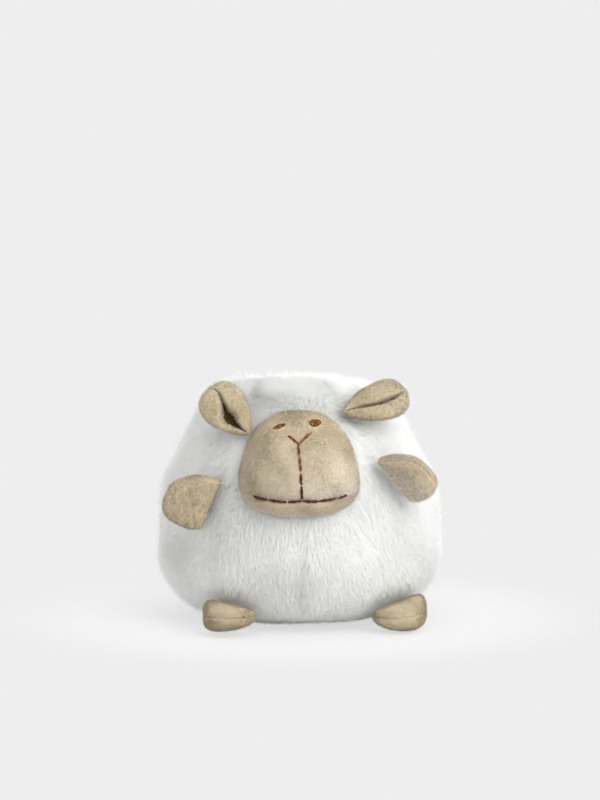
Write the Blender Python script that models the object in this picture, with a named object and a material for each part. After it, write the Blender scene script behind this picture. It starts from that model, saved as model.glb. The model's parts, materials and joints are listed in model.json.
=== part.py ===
"""Plush sheep: a stuffed fur ball that sits on a flat base.

A short-pile face bulges out of its front, and two ears, two arms, two feet and a tail are each sewn on
along a seam that works as a soft hinge. Units are metres, +Z is up and the face looks along -Y. The
origin is the centre of the flat base. Left and right are those of the picture, so left is -X.
"""

import math

import bmesh
import bpy
from mathutils import Matrix, Vector

# Fabric and fits
FUR_THICKNESS = 0.0090  # backing and pile of the long-pile fur
BASE_THICKNESS = 0.0030
PLUSH_THICKNESS = 0.0016  # backing and pile of the short-pile fabric
SEAM_GAP = 0.0003  # between two panels at their seam
FILL_GAP = 0.0005  # between a filling and the fabric round it
CUT_OVERRUN = 0.0100

# Body, a squarish ball that sags a little and is flat below
BODY_HALF_WIDTH = 0.0885
BODY_HALF_DEPTH = 0.0860
BODY_HEIGHT = 0.1530
WAIST_HEIGHT = 0.0510  # level where the ball is widest
SAG_OVERRUN = 0.0022  # below the floor, where the ball would end if no floor cut it
SAG_DEPTH = WAIST_HEIGHT + SAG_OVERRUN
BODY_SQUARENESS = 2.6  # of the profile above the waist, where 2 is an ellipse
SAG_SQUARENESS = 3.0  # of the profile below the waist
BODY_SEGMENTS = 48
BODY_RINGS = 24
FILLING_SEGMENTS = 28
FILLING_RINGS = 14

# Seams of the body's cover
BASE_SEAM_HEIGHT = 0.0090
CROWN_HALF_WIDTH = 0.0270
CROWN_FRONT_DROP = 0.0255  # below the top of the body, as the other drops here are
CROWN_BACK_DROP = 0.0370
BROW_SEAM_DROP = 0.0200  # where the side seam turns in to the crown panel
CROWN_FRONT_HEIGHT = BODY_HEIGHT - CROWN_FRONT_DROP
CROWN_BACK_HEIGHT = BODY_HEIGHT - CROWN_BACK_DROP
BROW_SEAM_HEIGHT = BODY_HEIGHT - BROW_SEAM_DROP
SIDE_SEAM_AZIMUTH = math.radians(39.0)

# Bag of pellets in the bottom of the filling
PELLET_RADIUS = 0.0420
PELLET_MIDDLE = 0.0090
PELLET_HALF_HEIGHT = 0.0130
PELLET_SEGMENTS = 20
PELLET_RINGS = 8

# Face
FACE_HALF_WIDTH = 0.0366
FACE_HALF_HEIGHT = 0.0316
FACE_DROP = 0.0486  # of the face's middle below the top of the body
FACE_HEIGHT = BODY_HEIGHT - FACE_DROP
FACE_BULGE = 0.0225
FACE_SQUARENESS = 2.6
FACE_TAPER_SHARE = 0.10
FACE_DROOP_SHARE = 0.25
FACE_SEGMENTS = 36
FACE_RINGS = 16
MOUTH_DROP = 0.0194  # below the face's middle
MOUTH_HEIGHT = FACE_HEIGHT - MOUTH_DROP
MOUTH_TILT = math.radians(7.0)  # the mouth seam climbs towards its ends

# Embroidery on the face
EYE_HALF_WIDTH = 0.0037
EYE_HALF_HEIGHT = 0.0019
EYE_THICKNESS = 0.0011
EYE_LEFT_REACH = 0.0119  # sideways from the face's middle, as the other reaches are
EYE_LEFT_RISE = 0.0226  # above the face's middle
EYE_RIGHT_REACH = 0.0106
EYE_RIGHT_RISE = 0.0241
EYE_SEGMENTS = 12
EYE_RINGS = 6
THREAD_RADIUS = 0.0007
NOSE_RISE = 0.0134  # of the foot of the nose's V above the face's middle
NOSE_ARM_REACH = 0.0074
NOSE_LEFT_RISE = 0.0052
NOSE_RIGHT_RISE = 0.0066
MUZZLE_LEAN = 0.0022  # sideways shift of the muzzle line on its way down
MOUTH_HALF_WIDTH = 0.0300
MUZZLE_POINTS = 7
MOUTH_POINTS = 15

# Ears, cupped leaves
EAR_LENGTH = 0.0430
EAR_HALF_WIDTH = 0.0146
EAR_CUP_DEPTH = 0.0105
EAR_LINING_THICKNESS = 0.0055
EAR_FUR_THICKNESS = 0.0045
EAR_ROOT_RADIUS = 0.0024
EAR_SEGMENTS = 14
EAR_RINGS = 11
EAR_WIDEST_SHARE = 0.66
EAR_ROOT_WIDTH_SHARE = 0.30
EAR_FOLD_SHARE = 0.55  # of the cup's depth that is lost by the tip
EAR_CUP_START_SHARE = 0.12
EAR_CUP_SQUARENESS = 1.4  # of the cup's cross-section, where 1 is a plain V
EAR_TAPER_SQUARENESS = 1.6
EAR_ROOT_SQUARENESS = 6.0
EAR_LEFT_AZIMUTH = math.radians(-26.6)
EAR_LEFT_DROP = 0.0298  # of the ear's root below the top of the body
EAR_LEFT_TILT = math.radians(53.0)
EAR_LEFT_LIFT = math.radians(31.0)
EAR_RIGHT_AZIMUTH = math.radians(26.6)
EAR_RIGHT_DROP = 0.0193
EAR_RIGHT_TILT = math.radians(-92.0)
EAR_RIGHT_LIFT = math.radians(24.0)

# Arms, D-shaped pads
ARM_LENGTH = 0.0300
ARM_HALF_WIDTH = 0.0178
ARM_HALF_THICKNESS = 0.0080
ARM_SKEW = 0.0050
ARM_LEFT_AZIMUTH = math.radians(-38.7)
ARM_LEFT_RISE = 0.0280  # of the arm's root above the waist
ARM_LEFT_TILT = math.radians(67.0)
ARM_LEFT_LIFT = math.radians(38.0)
ARM_RIGHT_AZIMUTH = math.radians(45.4)
ARM_RIGHT_RISE = 0.0400
ARM_RIGHT_TILT = math.radians(-51.0)
ARM_RIGHT_LIFT = math.radians(78.0)

# Feet, wider pads
FOOT_LENGTH = 0.0270
FOOT_HALF_WIDTH = 0.0188
FOOT_HALF_THICKNESS = 0.0090
FOOT_LEFT_AZIMUTH = math.radians(-34.0)
FOOT_LEFT_HEIGHT = 0.0128
FOOT_LEFT_TILT = math.radians(0.0)
FOOT_LEFT_LIFT = math.radians(43.0)
FOOT_LEFT_SKEW = 0.0040
FOOT_RIGHT_AZIMUTH = math.radians(52.0)
FOOT_RIGHT_HEIGHT = 0.0132
FOOT_RIGHT_TILT = math.radians(6.0)
FOOT_RIGHT_LIFT = math.radians(43.0)
FOOT_RIGHT_SKEW = 0.0080

# Tail, a small fur pad
TAIL_LENGTH = 0.0260
TAIL_HALF_WIDTH = 0.0110
TAIL_HALF_THICKNESS = 0.0055
TAIL_ROOT_RADIUS = 0.0007
TAIL_RISE = 0.0110  # of the tail's root above the waist
TAIL_LIFT = math.radians(40.0)

# Shape of every sewn pad, whose root radius is that of an arm and a foot
PAD_ROOT_RADIUS = 0.0022
PAD_SQUARENESS = 2.9
PAD_SWELL_SHARE = 0.45
PAD_SEGMENTS = 16
PAD_RINGS = 12

# Colours, with roughness
FUR_COLOUR = ((0.90, 0.90, 0.88), 0.95)
BASE_COLOUR = ((0.84, 0.84, 0.82), 0.95)
PLUSH_COLOUR = ((0.52, 0.42, 0.28), 0.90)
CHIN_COLOUR = ((0.56, 0.46, 0.34), 0.90)
FILLING_COLOUR = ((0.93, 0.93, 0.93), 1.00)
PELLET_COLOUR = ((0.75, 0.75, 0.72), 0.80)
EYE_COLOUR = ((0.33, 0.13, 0.03), 0.55)
THREAD_COLOUR = ((0.14, 0.035, 0.012), 0.60)


def power(value, exponent):
    """Raise the size of value to an exponent and keep its sign."""
    return math.copysign(abs(value) ** exponent, value)


def profile_at(height):
    """Height above the waist as a share of the profile's reach there, the reach, and the squareness."""
    rise = height - WAIST_HEIGHT
    if rise > 0.0:
        return rise / (BODY_HEIGHT - WAIST_HEIGHT), BODY_HEIGHT - WAIST_HEIGHT, BODY_SQUARENESS
    return rise / SAG_DEPTH, SAG_DEPTH, SAG_SQUARENESS


def body_share(height):
    """Share of the waist's size that the body has at a height."""
    share, _, square = profile_at(height)
    return max(0.0, 1.0 - abs(share) ** square) ** (1.0 / square)


def body_point(azimuth, height):
    """Point of the body's surface at an azimuth, from the front towards +X, and a height."""
    share = body_share(height)
    across = BODY_HALF_WIDTH * share * math.sin(azimuth)
    return Vector((across, -BODY_HALF_DEPTH * share * math.cos(azimuth), height))


def body_front(x, z):
    """Y of the body's front surface at a place in the front view."""
    inside = body_share(z) ** 2 - (x / BODY_HALF_WIDTH) ** 2
    return -BODY_HALF_DEPTH * math.sqrt(max(0.0, inside))


def body_normal(point):
    """Outward direction of the body's surface at a point on it."""
    share, reach, square = profile_at(point.z)
    ring = math.hypot(point.x / BODY_HALF_WIDTH, point.y / BODY_HALF_DEPTH)
    pull = ring ** (square - 2.0)
    out = Vector((pull * point.x / BODY_HALF_WIDTH**2, pull * point.y / BODY_HALF_DEPTH**2, 0.0))
    out.z = power(share, square - 1.0) / reach
    return out.normalized()


def face_front(x, z):
    """Y of the face's surface at a place in the front view."""
    up = (z - FACE_HEIGHT) / FACE_HALF_HEIGHT
    across = x / (FACE_HALF_WIDTH * (1.0 - FACE_TAPER_SHARE * up))
    out = (abs(up) ** FACE_SQUARENESS + abs(across) ** FACE_SQUARENESS) ** (1.0 / FACE_SQUARENESS)
    bulge = FACE_BULGE * (1.0 - FACE_DROOP_SHARE * up)
    return body_front(x, z) - bulge * math.sqrt(max(0.0, 1.0 - out * out))


def mouth_height(x):
    """Height of the mouth seam, whose plane climbs backwards, at a place across the face."""
    back = face_front(x, MOUTH_HEIGHT) - face_front(0.0, MOUTH_HEIGHT)
    return MOUTH_HEIGHT + back * math.tan(MOUTH_TILT)


def face_point(x, z, lift):
    """Point that stands off the face's surface by a lift, square to it."""
    step = THREAD_RADIUS
    slope_x = (face_front(x + step, z) - face_front(x - step, z)) / (2.0 * step)
    slope_z = (face_front(x, z + step) - face_front(x, z - step)) / (2.0 * step)
    out = Vector((slope_x, -1.0, slope_z)).normalized()
    return Vector((x, face_front(x, z), z)) + lift * out


def material(name, colour):
    """Plain material with a colour and a roughness."""
    made = bpy.data.materials.new(name)
    made.use_nodes = True
    shader = made.node_tree.nodes["Principled BSDF"]
    shader.inputs["Base Color"].default_value = (*colour[0], 1.0)
    shader.inputs["Roughness"].default_value = colour[1]
    shader.inputs["Metallic"].default_value = 0.0
    return made


def collection(name):
    """New collection in the scene."""
    made = bpy.data.collections.new(name)
    bpy.context.scene.collection.children.link(made)
    return made


def finish(bm, name, colour, parts, parent=None):
    """Turn a bmesh into a smooth named object with its own material."""
    mesh = bpy.data.meshes.new(name)
    bm.to_mesh(mesh)
    bm.free()
    mesh.shade_smooth()
    mesh.set_sharp_from_angle(angle=math.radians(40.0))
    made = bpy.data.objects.new(name, mesh)
    made.data.materials.append(material(name, colour))
    parts.objects.link(made)
    made.parent = parent
    return made


def cutter(bm, name, cutters, parent=None):
    """Turn a bmesh into a cutter, which is drawn as wire and never rendered."""
    mesh = bpy.data.meshes.new(name)
    bm.to_mesh(mesh)
    bm.free()
    made = bpy.data.objects.new(name, mesh)
    made.hide_render = True
    made.display_type = "WIRE"
    cutters.objects.link(made)
    made.parent = parent
    return made


def subtract(target, tool):
    """Cut a tool out of a target with an exact Boolean."""
    cut = target.modifiers.new(tool.name, "BOOLEAN")
    cut.operation = "DIFFERENCE"
    cut.solver = "EXACT"
    cut.use_self = True
    cut.object = tool


def thicken(bm, inner):
    """Extrude an open surface into a closed shell whose inner side a function of the place gives."""
    grown = bmesh.ops.extrude_face_region(bm, geom=[*bm.faces, *bm.edges], use_keep_orig=True)
    for item in grown["geom"]:
        if isinstance(item, bmesh.types.BMVert):
            item.co = inner(item.co)
    bmesh.ops.recalc_face_normals(bm, faces=bm.faces)


def close_holes(bm):
    """Fill every open edge loop with a face."""
    rim = [edge for edge in bm.edges if edge.is_boundary]
    bmesh.ops.holes_fill(bm, edges=rim, sides=0)


def slice_at(bm, place, direction):
    """Cut the surface along a plane and keep both sides."""
    everything = [*bm.verts, *bm.edges, *bm.faces]
    bmesh.ops.bisect_plane(bm, geom=everything, plane_co=place, plane_no=direction)


def keep_side(bm, place, direction):
    """Cut the surface along a plane and keep the side that the direction points to."""
    everything = [*bm.verts, *bm.edges, *bm.faces]
    bmesh.ops.bisect_plane(bm, geom=everything, plane_co=place, plane_no=direction, clear_inner=True)


def inset_body(place, inset):
    """Place on the body's surface, moved to the surface that lies an inset inside it."""
    reach = profile_at(place.z)[1]
    across = place.x * (1.0 - inset / BODY_HALF_WIDTH)
    along = place.y * (1.0 - inset / BODY_HALF_DEPTH)
    return Vector((across, along, WAIST_HEIGHT + (place.z - WAIST_HEIGHT) * (1.0 - inset / reach)))


def inset_face(place, inset):
    """Place on the face's surface, moved to the surface that lies an inset inside it."""
    x = place.x * (1.0 - inset / FACE_HALF_WIDTH)
    z = FACE_HEIGHT + (place.z - FACE_HEIGHT) * (1.0 - inset / FACE_HALF_HEIGHT)
    bulge = (place.y - body_front(place.x, place.z)) * (1.0 - inset / FACE_BULGE)
    return Vector((x, body_front(x, z) + bulge, z))


def body_ball(inset, segments, rings):
    """Closed ball in the body's shape, inset by a distance."""
    bm = bmesh.new()
    turn = Matrix.Rotation(math.pi / segments, 4, "Z")
    bmesh.ops.create_uvsphere(bm, u_segments=segments, v_segments=rings, radius=1.0, matrix=turn)
    for vert in bm.verts:
        _, reach, square = profile_at(WAIST_HEIGHT + vert.co.z)
        azimuth = math.atan2(vert.co.x, -vert.co.y)
        height = WAIST_HEIGHT + reach * power(vert.co.z, 2.0 / square)
        vert.co = inset_body(body_point(azimuth, height), inset)
    return bm


def cover_surface(level):
    """Open surface of the body's cover above a level."""
    bm = body_ball(0.0, BODY_SEGMENTS, BODY_RINGS)
    keep_side(bm, Vector((0.0, 0.0, level)), Vector((0.0, 0.0, 1.0)))
    return bm


def drop_faces(bm, unwanted):
    """Delete the faces whose centres a test picks out."""
    faces = [face for face in bm.faces if unwanted(face.calc_center_median())]
    bmesh.ops.delete(bm, geom=faces, context="FACES")


def face_prism(inset, near, far):
    """Prism through the face's outline, along Y between two distances."""
    bm = bmesh.new()
    bmesh.ops.create_circle(bm, cap_ends=True, segments=FACE_SEGMENTS, radius=1.0)
    for vert in bm.verts:
        place = face_outline(vert.co.x, vert.co.y, inset)
        vert.co = Vector((place[0], near, place[1]))
    grown = bmesh.ops.extrude_face_region(bm, geom=bm.faces[:])
    moved = [item for item in grown["geom"] if isinstance(item, bmesh.types.BMVert)]
    bmesh.ops.translate(bm, verts=moved, vec=Vector((0.0, far - near, 0.0)))
    bmesh.ops.recalc_face_normals(bm, faces=bm.faces)
    return bm


def face_outline(right, up, inset):
    """Front-view place of a point of the unit disc, mapped to the face's squarish outline."""
    out = math.hypot(right, up)
    if out == 0.0:
        return 0.0, FACE_HEIGHT
    curve = 2.0 / FACE_SQUARENESS
    high = out * power(up / out, curve)
    wide = out * power(right / out, curve) * (1.0 - FACE_TAPER_SHARE * high)
    return (FACE_HALF_WIDTH - inset) * wide, FACE_HEIGHT + (FACE_HALF_HEIGHT - inset) * high


def face_dome(inset):
    """Open dome of the face, inset by a distance."""
    bm = bmesh.new()
    tilt = Matrix.Rotation(math.radians(90.0), 4, "X")
    bmesh.ops.create_uvsphere(bm, u_segments=FACE_SEGMENTS, v_segments=FACE_RINGS, radius=1.0, matrix=tilt)
    keep_side(bm, Vector(), Vector((0.0, -1.0, 0.0)))
    for vert in bm.verts:
        x, z = face_outline(vert.co.x, vert.co.z, 0.0)
        bulge = FACE_BULGE * (1.0 - FACE_DROOP_SHARE * (z - FACE_HEIGHT) / FACE_HALF_HEIGHT)
        place = Vector((x, body_front(x, z) + bulge * min(0.0, vert.co.y), z))
        vert.co = inset_face(place, inset)
    return bm


def in_crown(place, growth):
    """Whether a place of the cover lies in the crown panel's region, grown by a distance."""
    low = CROWN_FRONT_HEIGHT if place.y < 0.0 else CROWN_BACK_HEIGHT
    return abs(place.x) < CROWN_HALF_WIDTH + growth and place.z > low - growth


def cover_above(level, growth):
    """Open surface of the cover above a level, cut along the crown panel's seams, which are grown."""
    bm = cover_surface(level)
    for side in (-1.0, 1.0):
        slice_at(bm, Vector((side * (CROWN_HALF_WIDTH + growth), 0.0, 0.0)), Vector((1.0, 0.0, 0.0)))
    for height in (CROWN_FRONT_HEIGHT, CROWN_BACK_HEIGHT):
        slice_at(bm, Vector((0.0, 0.0, height - growth)), Vector((0.0, 0.0, 1.0)))
    return bm


def cover_half(side):
    """Open surface of one side of the cover, between the base panel and the crown panel."""
    half_gap = SEAM_GAP / 2.0
    bm = cover_above(BASE_SEAM_HEIGHT + half_gap, half_gap)
    keep_side(bm, Vector((side * half_gap, 0.0, 0.0)), Vector((side, 0.0, 0.0)))
    drop_faces(bm, lambda at: in_crown(at, half_gap))
    return bm


def build_body_cover(parts, cutters):
    """Fur panels, the crown panel and the base panel."""
    half_gap = SEAM_GAP / 2.0
    up = Vector((0.0, 0.0, 1.0))

    def fur_inside(place):
        return inset_body(place, FUR_THICKNESS)

    hole = cutter(
        face_prism(-SEAM_GAP - half_gap, -BODY_HALF_DEPTH - CUT_OVERRUN, -FUR_THICKNESS - CUT_OVERRUN),
        "face_hole",
        cutters,
    )
    for side, name in ((-1.0, "left"), (1.0, "right")):
        seam = Vector((side * math.cos(SIDE_SEAM_AZIMUTH), math.sin(SIDE_SEAM_AZIMUTH), 0.0))
        bm = cover_half(side)
        keep_side(bm, -half_gap * seam, -seam)
        keep_side(bm, Vector((0.0, 0.0, BROW_SEAM_HEIGHT - half_gap)), -up)
        thicken(bm, fur_inside)
        subtract(finish(bm, f"front_{name}_fur_panel", FUR_COLOUR, parts), hole)
        bm = cover_half(side)
        brow = BROW_SEAM_HEIGHT + half_gap
        slice_at(bm, half_gap * seam, seam)
        slice_at(bm, Vector((0.0, 0.0, brow)), up)
        drop_faces(bm, lambda at: at.dot(seam) < half_gap and at.z < brow)
        thicken(bm, fur_inside)
        subtract(finish(bm, f"back_{name}_fur_panel", FUR_COLOUR, parts), hole)
    crown = cover_above(CROWN_BACK_HEIGHT, -half_gap)
    drop_faces(crown, lambda at: not in_crown(at, -half_gap))
    thicken(crown, fur_inside)
    subtract(finish(crown, "crown_fur_panel", FUR_COLOUR, parts), hole)
    base = cover_surface(0.0)
    close_holes(base)
    keep_side(base, Vector((0.0, 0.0, BASE_SEAM_HEIGHT - half_gap)), -up)
    thicken(base, lambda at: inset_body(at, BASE_THICKNESS))
    finish(base, "base_panel", BASE_COLOUR, parts)


def pellet_ball(inset):
    """Flattened ball of the pellet bag, inset by a distance."""
    bm = bmesh.new()
    bmesh.ops.create_uvsphere(bm, u_segments=PELLET_SEGMENTS, v_segments=PELLET_RINGS, radius=1.0)
    radius = PELLET_RADIUS - inset
    bmesh.ops.scale(bm, verts=bm.verts, vec=Vector((radius, radius, PELLET_HALF_HEIGHT - inset)))
    bmesh.ops.translate(bm, verts=bm.verts, vec=Vector((0.0, 0.0, PELLET_MIDDLE)))
    return bm


def build_body_inside(parts, cutters):
    """Filling of the body, with a pocket below that holds the pellet bag."""
    floor = Vector((0.0, 0.0, BASE_THICKNESS + FILL_GAP))
    up = Vector((0.0, 0.0, 1.0))
    bm = body_ball(FUR_THICKNESS + FILL_GAP, FILLING_SEGMENTS, FILLING_RINGS)
    keep_side(bm, floor, up)
    close_holes(bm)
    filling = finish(bm, "body_filling", FILLING_COLOUR, parts)
    subtract(filling, cutter(pellet_ball(-FILL_GAP), "pellet_pocket", cutters))
    bm = pellet_ball(0.0)
    keep_side(bm, floor, up)
    close_holes(bm)
    finish(bm, "pellet_bag", PELLET_COLOUR, parts)


def build_face(parts, cutters):
    """Face and chin panels with the filling behind them."""
    half_gap = SEAM_GAP / 2.0
    mouth = Vector((0.0, face_front(0.0, MOUTH_HEIGHT), MOUTH_HEIGHT))
    square = Vector((0.0, -math.sin(MOUTH_TILT), math.cos(MOUTH_TILT)))
    for side, name, colour in ((1.0, "face_panel", PLUSH_COLOUR), (-1.0, "chin_panel", CHIN_COLOUR)):
        bm = face_dome(0.0)
        keep_side(bm, mouth + side * half_gap * square, side * square)
        thicken(bm, lambda at: inset_face(at, PLUSH_THICKNESS))
        finish(bm, name, colour, parts)
    bm = face_dome(PLUSH_THICKNESS + FILL_GAP)
    rim = [edge for edge in bm.edges if edge.is_boundary]
    grown = bmesh.ops.extrude_edge_only(bm, edges=rim)
    for item in grown["geom"]:
        if isinstance(item, bmesh.types.BMVert):
            item.co.y = -BODY_HALF_DEPTH / 3.0
    close_holes(bm)
    filling = finish(bm, "face_filling", FILLING_COLOUR, parts)
    bm = body_ball(FUR_THICKNESS, FILLING_SEGMENTS, FILLING_RINGS)
    subtract(filling, cutter(bm, "body_core", cutters))


def stitch(name, places, parts):
    """Run of thread along front-view places on the face."""
    curve = bpy.data.curves.new(name, "CURVE")
    curve.dimensions = "3D"
    curve.bevel_depth = THREAD_RADIUS
    curve.bevel_resolution = 1
    curve.use_fill_caps = True
    spline = curve.splines.new("POLY")
    spline.points.add(len(places) - 1)
    for point, (x, z) in zip(spline.points, places):
        point.co = (*face_point(x, z, THREAD_RADIUS + SEAM_GAP), 1.0)
    guide = bpy.data.objects.new(name, curve)
    parts.objects.link(guide)
    bpy.context.view_layer.update()
    mesh = bpy.data.meshes.new_from_object(guide.evaluated_get(bpy.context.evaluated_depsgraph_get()))
    bpy.data.objects.remove(guide)
    bm = bmesh.new()
    bm.from_mesh(mesh)
    bpy.data.meshes.remove(mesh)
    bmesh.ops.remove_doubles(bm, verts=bm.verts, dist=SEAM_GAP / 10.0)
    finish(bm, name, THREAD_COLOUR, parts)


def build_embroidery(parts):
    """Two eyes, the nose, the line down the muzzle and the mouth."""
    eyes = {
        "eye_left": (-EYE_LEFT_REACH, FACE_HEIGHT + EYE_LEFT_RISE),
        "eye_right": (EYE_RIGHT_REACH, FACE_HEIGHT + EYE_RIGHT_RISE),
    }
    for name, (place, height) in eyes.items():
        bm = bmesh.new()
        bmesh.ops.create_uvsphere(bm, u_segments=EYE_SEGMENTS, v_segments=EYE_RINGS, radius=1.0)
        for vert in bm.verts:
            x = place + EYE_HALF_WIDTH * vert.co.x
            z = height + EYE_HALF_HEIGHT * vert.co.y
            vert.co = face_point(x, z, SEAM_GAP + EYE_THICKNESS * (1.0 + vert.co.z) / 2.0)
        finish(bm, name, EYE_COLOUR, parts)
    foot = FACE_HEIGHT + NOSE_RISE
    nose = [
        (-NOSE_ARM_REACH, foot + NOSE_LEFT_RISE),
        (-NOSE_ARM_REACH / 2.0, foot + NOSE_LEFT_RISE / 2.0),
        (0.0, foot),
        (NOSE_ARM_REACH / 2.0, foot + NOSE_RIGHT_RISE / 2.0),
        (NOSE_ARM_REACH, foot + NOSE_RIGHT_RISE),
    ]
    stitch("nose_stitch", nose, parts)
    spare = 2.0 * THREAD_RADIUS + SEAM_GAP
    fall = foot - MOUTH_HEIGHT - 2.0 * spare
    muzzle = []
    for step in range(MUZZLE_POINTS):
        share = step / (MUZZLE_POINTS - 1)
        muzzle.append((MUZZLE_LEAN * share, foot - spare - fall * share))
    stitch("muzzle_stitch", muzzle, parts)
    mouth = []
    for step in range(MOUTH_POINTS):
        x = MOUTH_HALF_WIDTH * (2.0 * step / (MOUTH_POINTS - 1) - 1.0)
        mouth.append((x, mouth_height(x)))
    stitch("mouth_stitch", mouth, parts)


def root_frame(azimuth, height, tilt, lift, standoff):
    """Frame of a sewn root: X along the limb, Y along the seam, origin just off the body.

    The seam turns by the tilt from level, and the limb rises by the lift from the body's surface.
    """
    place = body_point(azimuth, height)
    out = body_normal(place)
    level = Vector((0.0, 0.0, 1.0)).cross(out).normalized()
    climb = out.cross(level)
    seam = math.cos(tilt) * level + math.sin(tilt) * climb
    flat = out.cross(seam)
    along = math.cos(lift) * flat + math.sin(lift) * out
    facing = along.cross(seam)
    place += standoff * out
    frame = Matrix((along, seam, facing)).transposed().to_4x4()
    frame.translation = place
    return frame


def empty_at(name, frame, parts):
    """Empty whose origin and Y axis are a limb's hinge."""
    made = bpy.data.objects.new(name, None)
    made.matrix_world = frame
    parts.objects.link(made)
    return made


def pad(length, half_width, half_thickness, skew, root_radius, inset):
    """Closed D-shaped pad, straight and thin at its root and full towards its round end."""
    bm = bmesh.new()
    bmesh.ops.create_uvsphere(bm, u_segments=PAD_SEGMENTS, v_segments=PAD_RINGS, radius=1.0)
    curve = 2.0 / PAD_SQUARENESS
    for vert in bm.verts:
        ring = math.hypot(vert.co.x, vert.co.y)
        turn = vert.co.x / ring if ring > 0.0 else 0.0
        rise = vert.co.y / ring if ring > 0.0 else 0.0
        chord = power(ring, curve)
        share = (1.0 + turn) / 2.0
        wide = -power(vert.co.z, curve)
        root = inset - root_radius
        full = 1.0 + PAD_SWELL_SHARE * turn
        vert.co.x = root + (length - 2.0 * inset) * chord * share
        vert.co.y = (half_width - inset) * wide + skew * chord * share
        vert.co.z = (half_thickness - inset) * math.sqrt(chord) * rise * full
    return bm


def build_pad_limb(names, sizes, empty, parts, cutters):
    """Two fabric panels of a pad, sewn round its edge, with the filling between them."""
    high_name, low_name, filling_name = names
    core = cutter(pad(*sizes, PLUSH_THICKNESS), f"{filling_name}_core", cutters, empty)
    for side, name in ((1.0, high_name), (-1.0, low_name)):
        bm = pad(*sizes, 0.0)
        keep_side(bm, Vector((0.0, 0.0, side * SEAM_GAP / 2.0)), Vector((0.0, 0.0, side)))
        close_holes(bm)
        subtract(finish(bm, name, PLUSH_COLOUR, parts, empty), core)
    finish(pad(*sizes, PLUSH_THICKNESS + FILL_GAP), filling_name, FILLING_COLOUR, parts, empty)


def build_arms(parts, cutters):
    """Both arms on their hinges."""
    standoff = PAD_ROOT_RADIUS + SEAM_GAP
    places = {
        "arm_left": (ARM_LEFT_AZIMUTH, ARM_LEFT_RISE, ARM_LEFT_TILT, ARM_LEFT_LIFT, -ARM_SKEW),
        "arm_right": (ARM_RIGHT_AZIMUTH, ARM_RIGHT_RISE, ARM_RIGHT_TILT, ARM_RIGHT_LIFT, ARM_SKEW),
    }
    for name, (azimuth, rise, tilt, lift, skew) in places.items():
        height = WAIST_HEIGHT + rise
        hinge = empty_at(f"{name}_hinge", root_frame(azimuth, height, tilt, lift, standoff), parts)
        names = (f"{name}_back_panel", f"{name}_front_panel", f"{name}_filling")
        sizes = (ARM_LENGTH, ARM_HALF_WIDTH, ARM_HALF_THICKNESS, skew, PAD_ROOT_RADIUS)
        build_pad_limb(names, sizes, hinge, parts, cutters)


def build_feet(parts, cutters):
    """Both feet on their hinges."""
    standoff = PAD_ROOT_RADIUS + SEAM_GAP
    places = {
        "foot_left": (FOOT_LEFT_AZIMUTH, FOOT_LEFT_HEIGHT, FOOT_LEFT_TILT, FOOT_LEFT_LIFT, FOOT_LEFT_SKEW),
        "foot_right": (
            FOOT_RIGHT_AZIMUTH,
            FOOT_RIGHT_HEIGHT,
            FOOT_RIGHT_TILT,
            FOOT_RIGHT_LIFT,
            -FOOT_RIGHT_SKEW,
        ),
    }
    for name, (azimuth, height, tilt, lift, skew) in places.items():
        hinge = empty_at(f"{name}_hinge", root_frame(azimuth, height, tilt, lift, standoff), parts)
        names = (f"{name}_upper_panel", f"{name}_sole_panel", f"{name}_filling")
        sizes = (FOOT_LENGTH, FOOT_HALF_WIDTH, FOOT_HALF_THICKNESS, skew, PAD_ROOT_RADIUS)
        build_pad_limb(names, sizes, hinge, parts, cutters)


def build_tail(parts):
    """Tail of two fur pieces, hanging from a seam at the back."""
    standoff = TAIL_ROOT_RADIUS + SEAM_GAP
    frame = root_frame(math.pi, WAIST_HEIGHT + TAIL_RISE, math.pi, TAIL_LIFT, standoff)
    hinge = empty_at("tail_hinge", frame, parts)
    for side, name in ((1.0, "tail_under_panel"), (-1.0, "tail_outer_panel")):
        bm = pad(TAIL_LENGTH, TAIL_HALF_WIDTH, TAIL_HALF_THICKNESS, 0.0, TAIL_ROOT_RADIUS, 0.0)
        keep_side(bm, Vector((0.0, 0.0, side * SEAM_GAP / 2.0)), Vector((0.0, 0.0, side)))
        close_holes(bm)
        finish(bm, name, FUR_COLOUR, parts, hinge)


def ear_half_width(share):
    """Half width of an ear's leaf at a share of its length."""
    if share > EAR_WIDEST_SHARE:
        past = (share - EAR_WIDEST_SHARE) / (1.0 - EAR_WIDEST_SHARE)
        return EAR_HALF_WIDTH * math.sqrt(max(0.0, 1.0 - past**2))
    before = 1.0 - share / EAR_WIDEST_SHARE
    narrow = math.sqrt(max(0.0, 1.0 - before**EAR_ROOT_SQUARENESS))
    return EAR_HALF_WIDTH * narrow * (1.0 - (1.0 - EAR_ROOT_WIDTH_SHARE) * before**EAR_TAPER_SQUARENESS)


def ear_cup(share, across):
    """Height of an ear's cup, from its fold line up to its edges."""
    along = EAR_CUP_START_SHARE + (1.0 - EAR_CUP_START_SHARE) * share
    rise = math.sqrt(max(0.0, math.sin(math.pi * along)))
    return EAR_CUP_DEPTH * (1.0 - EAR_FOLD_SHARE * share) * rise * abs(across) ** EAR_CUP_SQUARENESS


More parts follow.
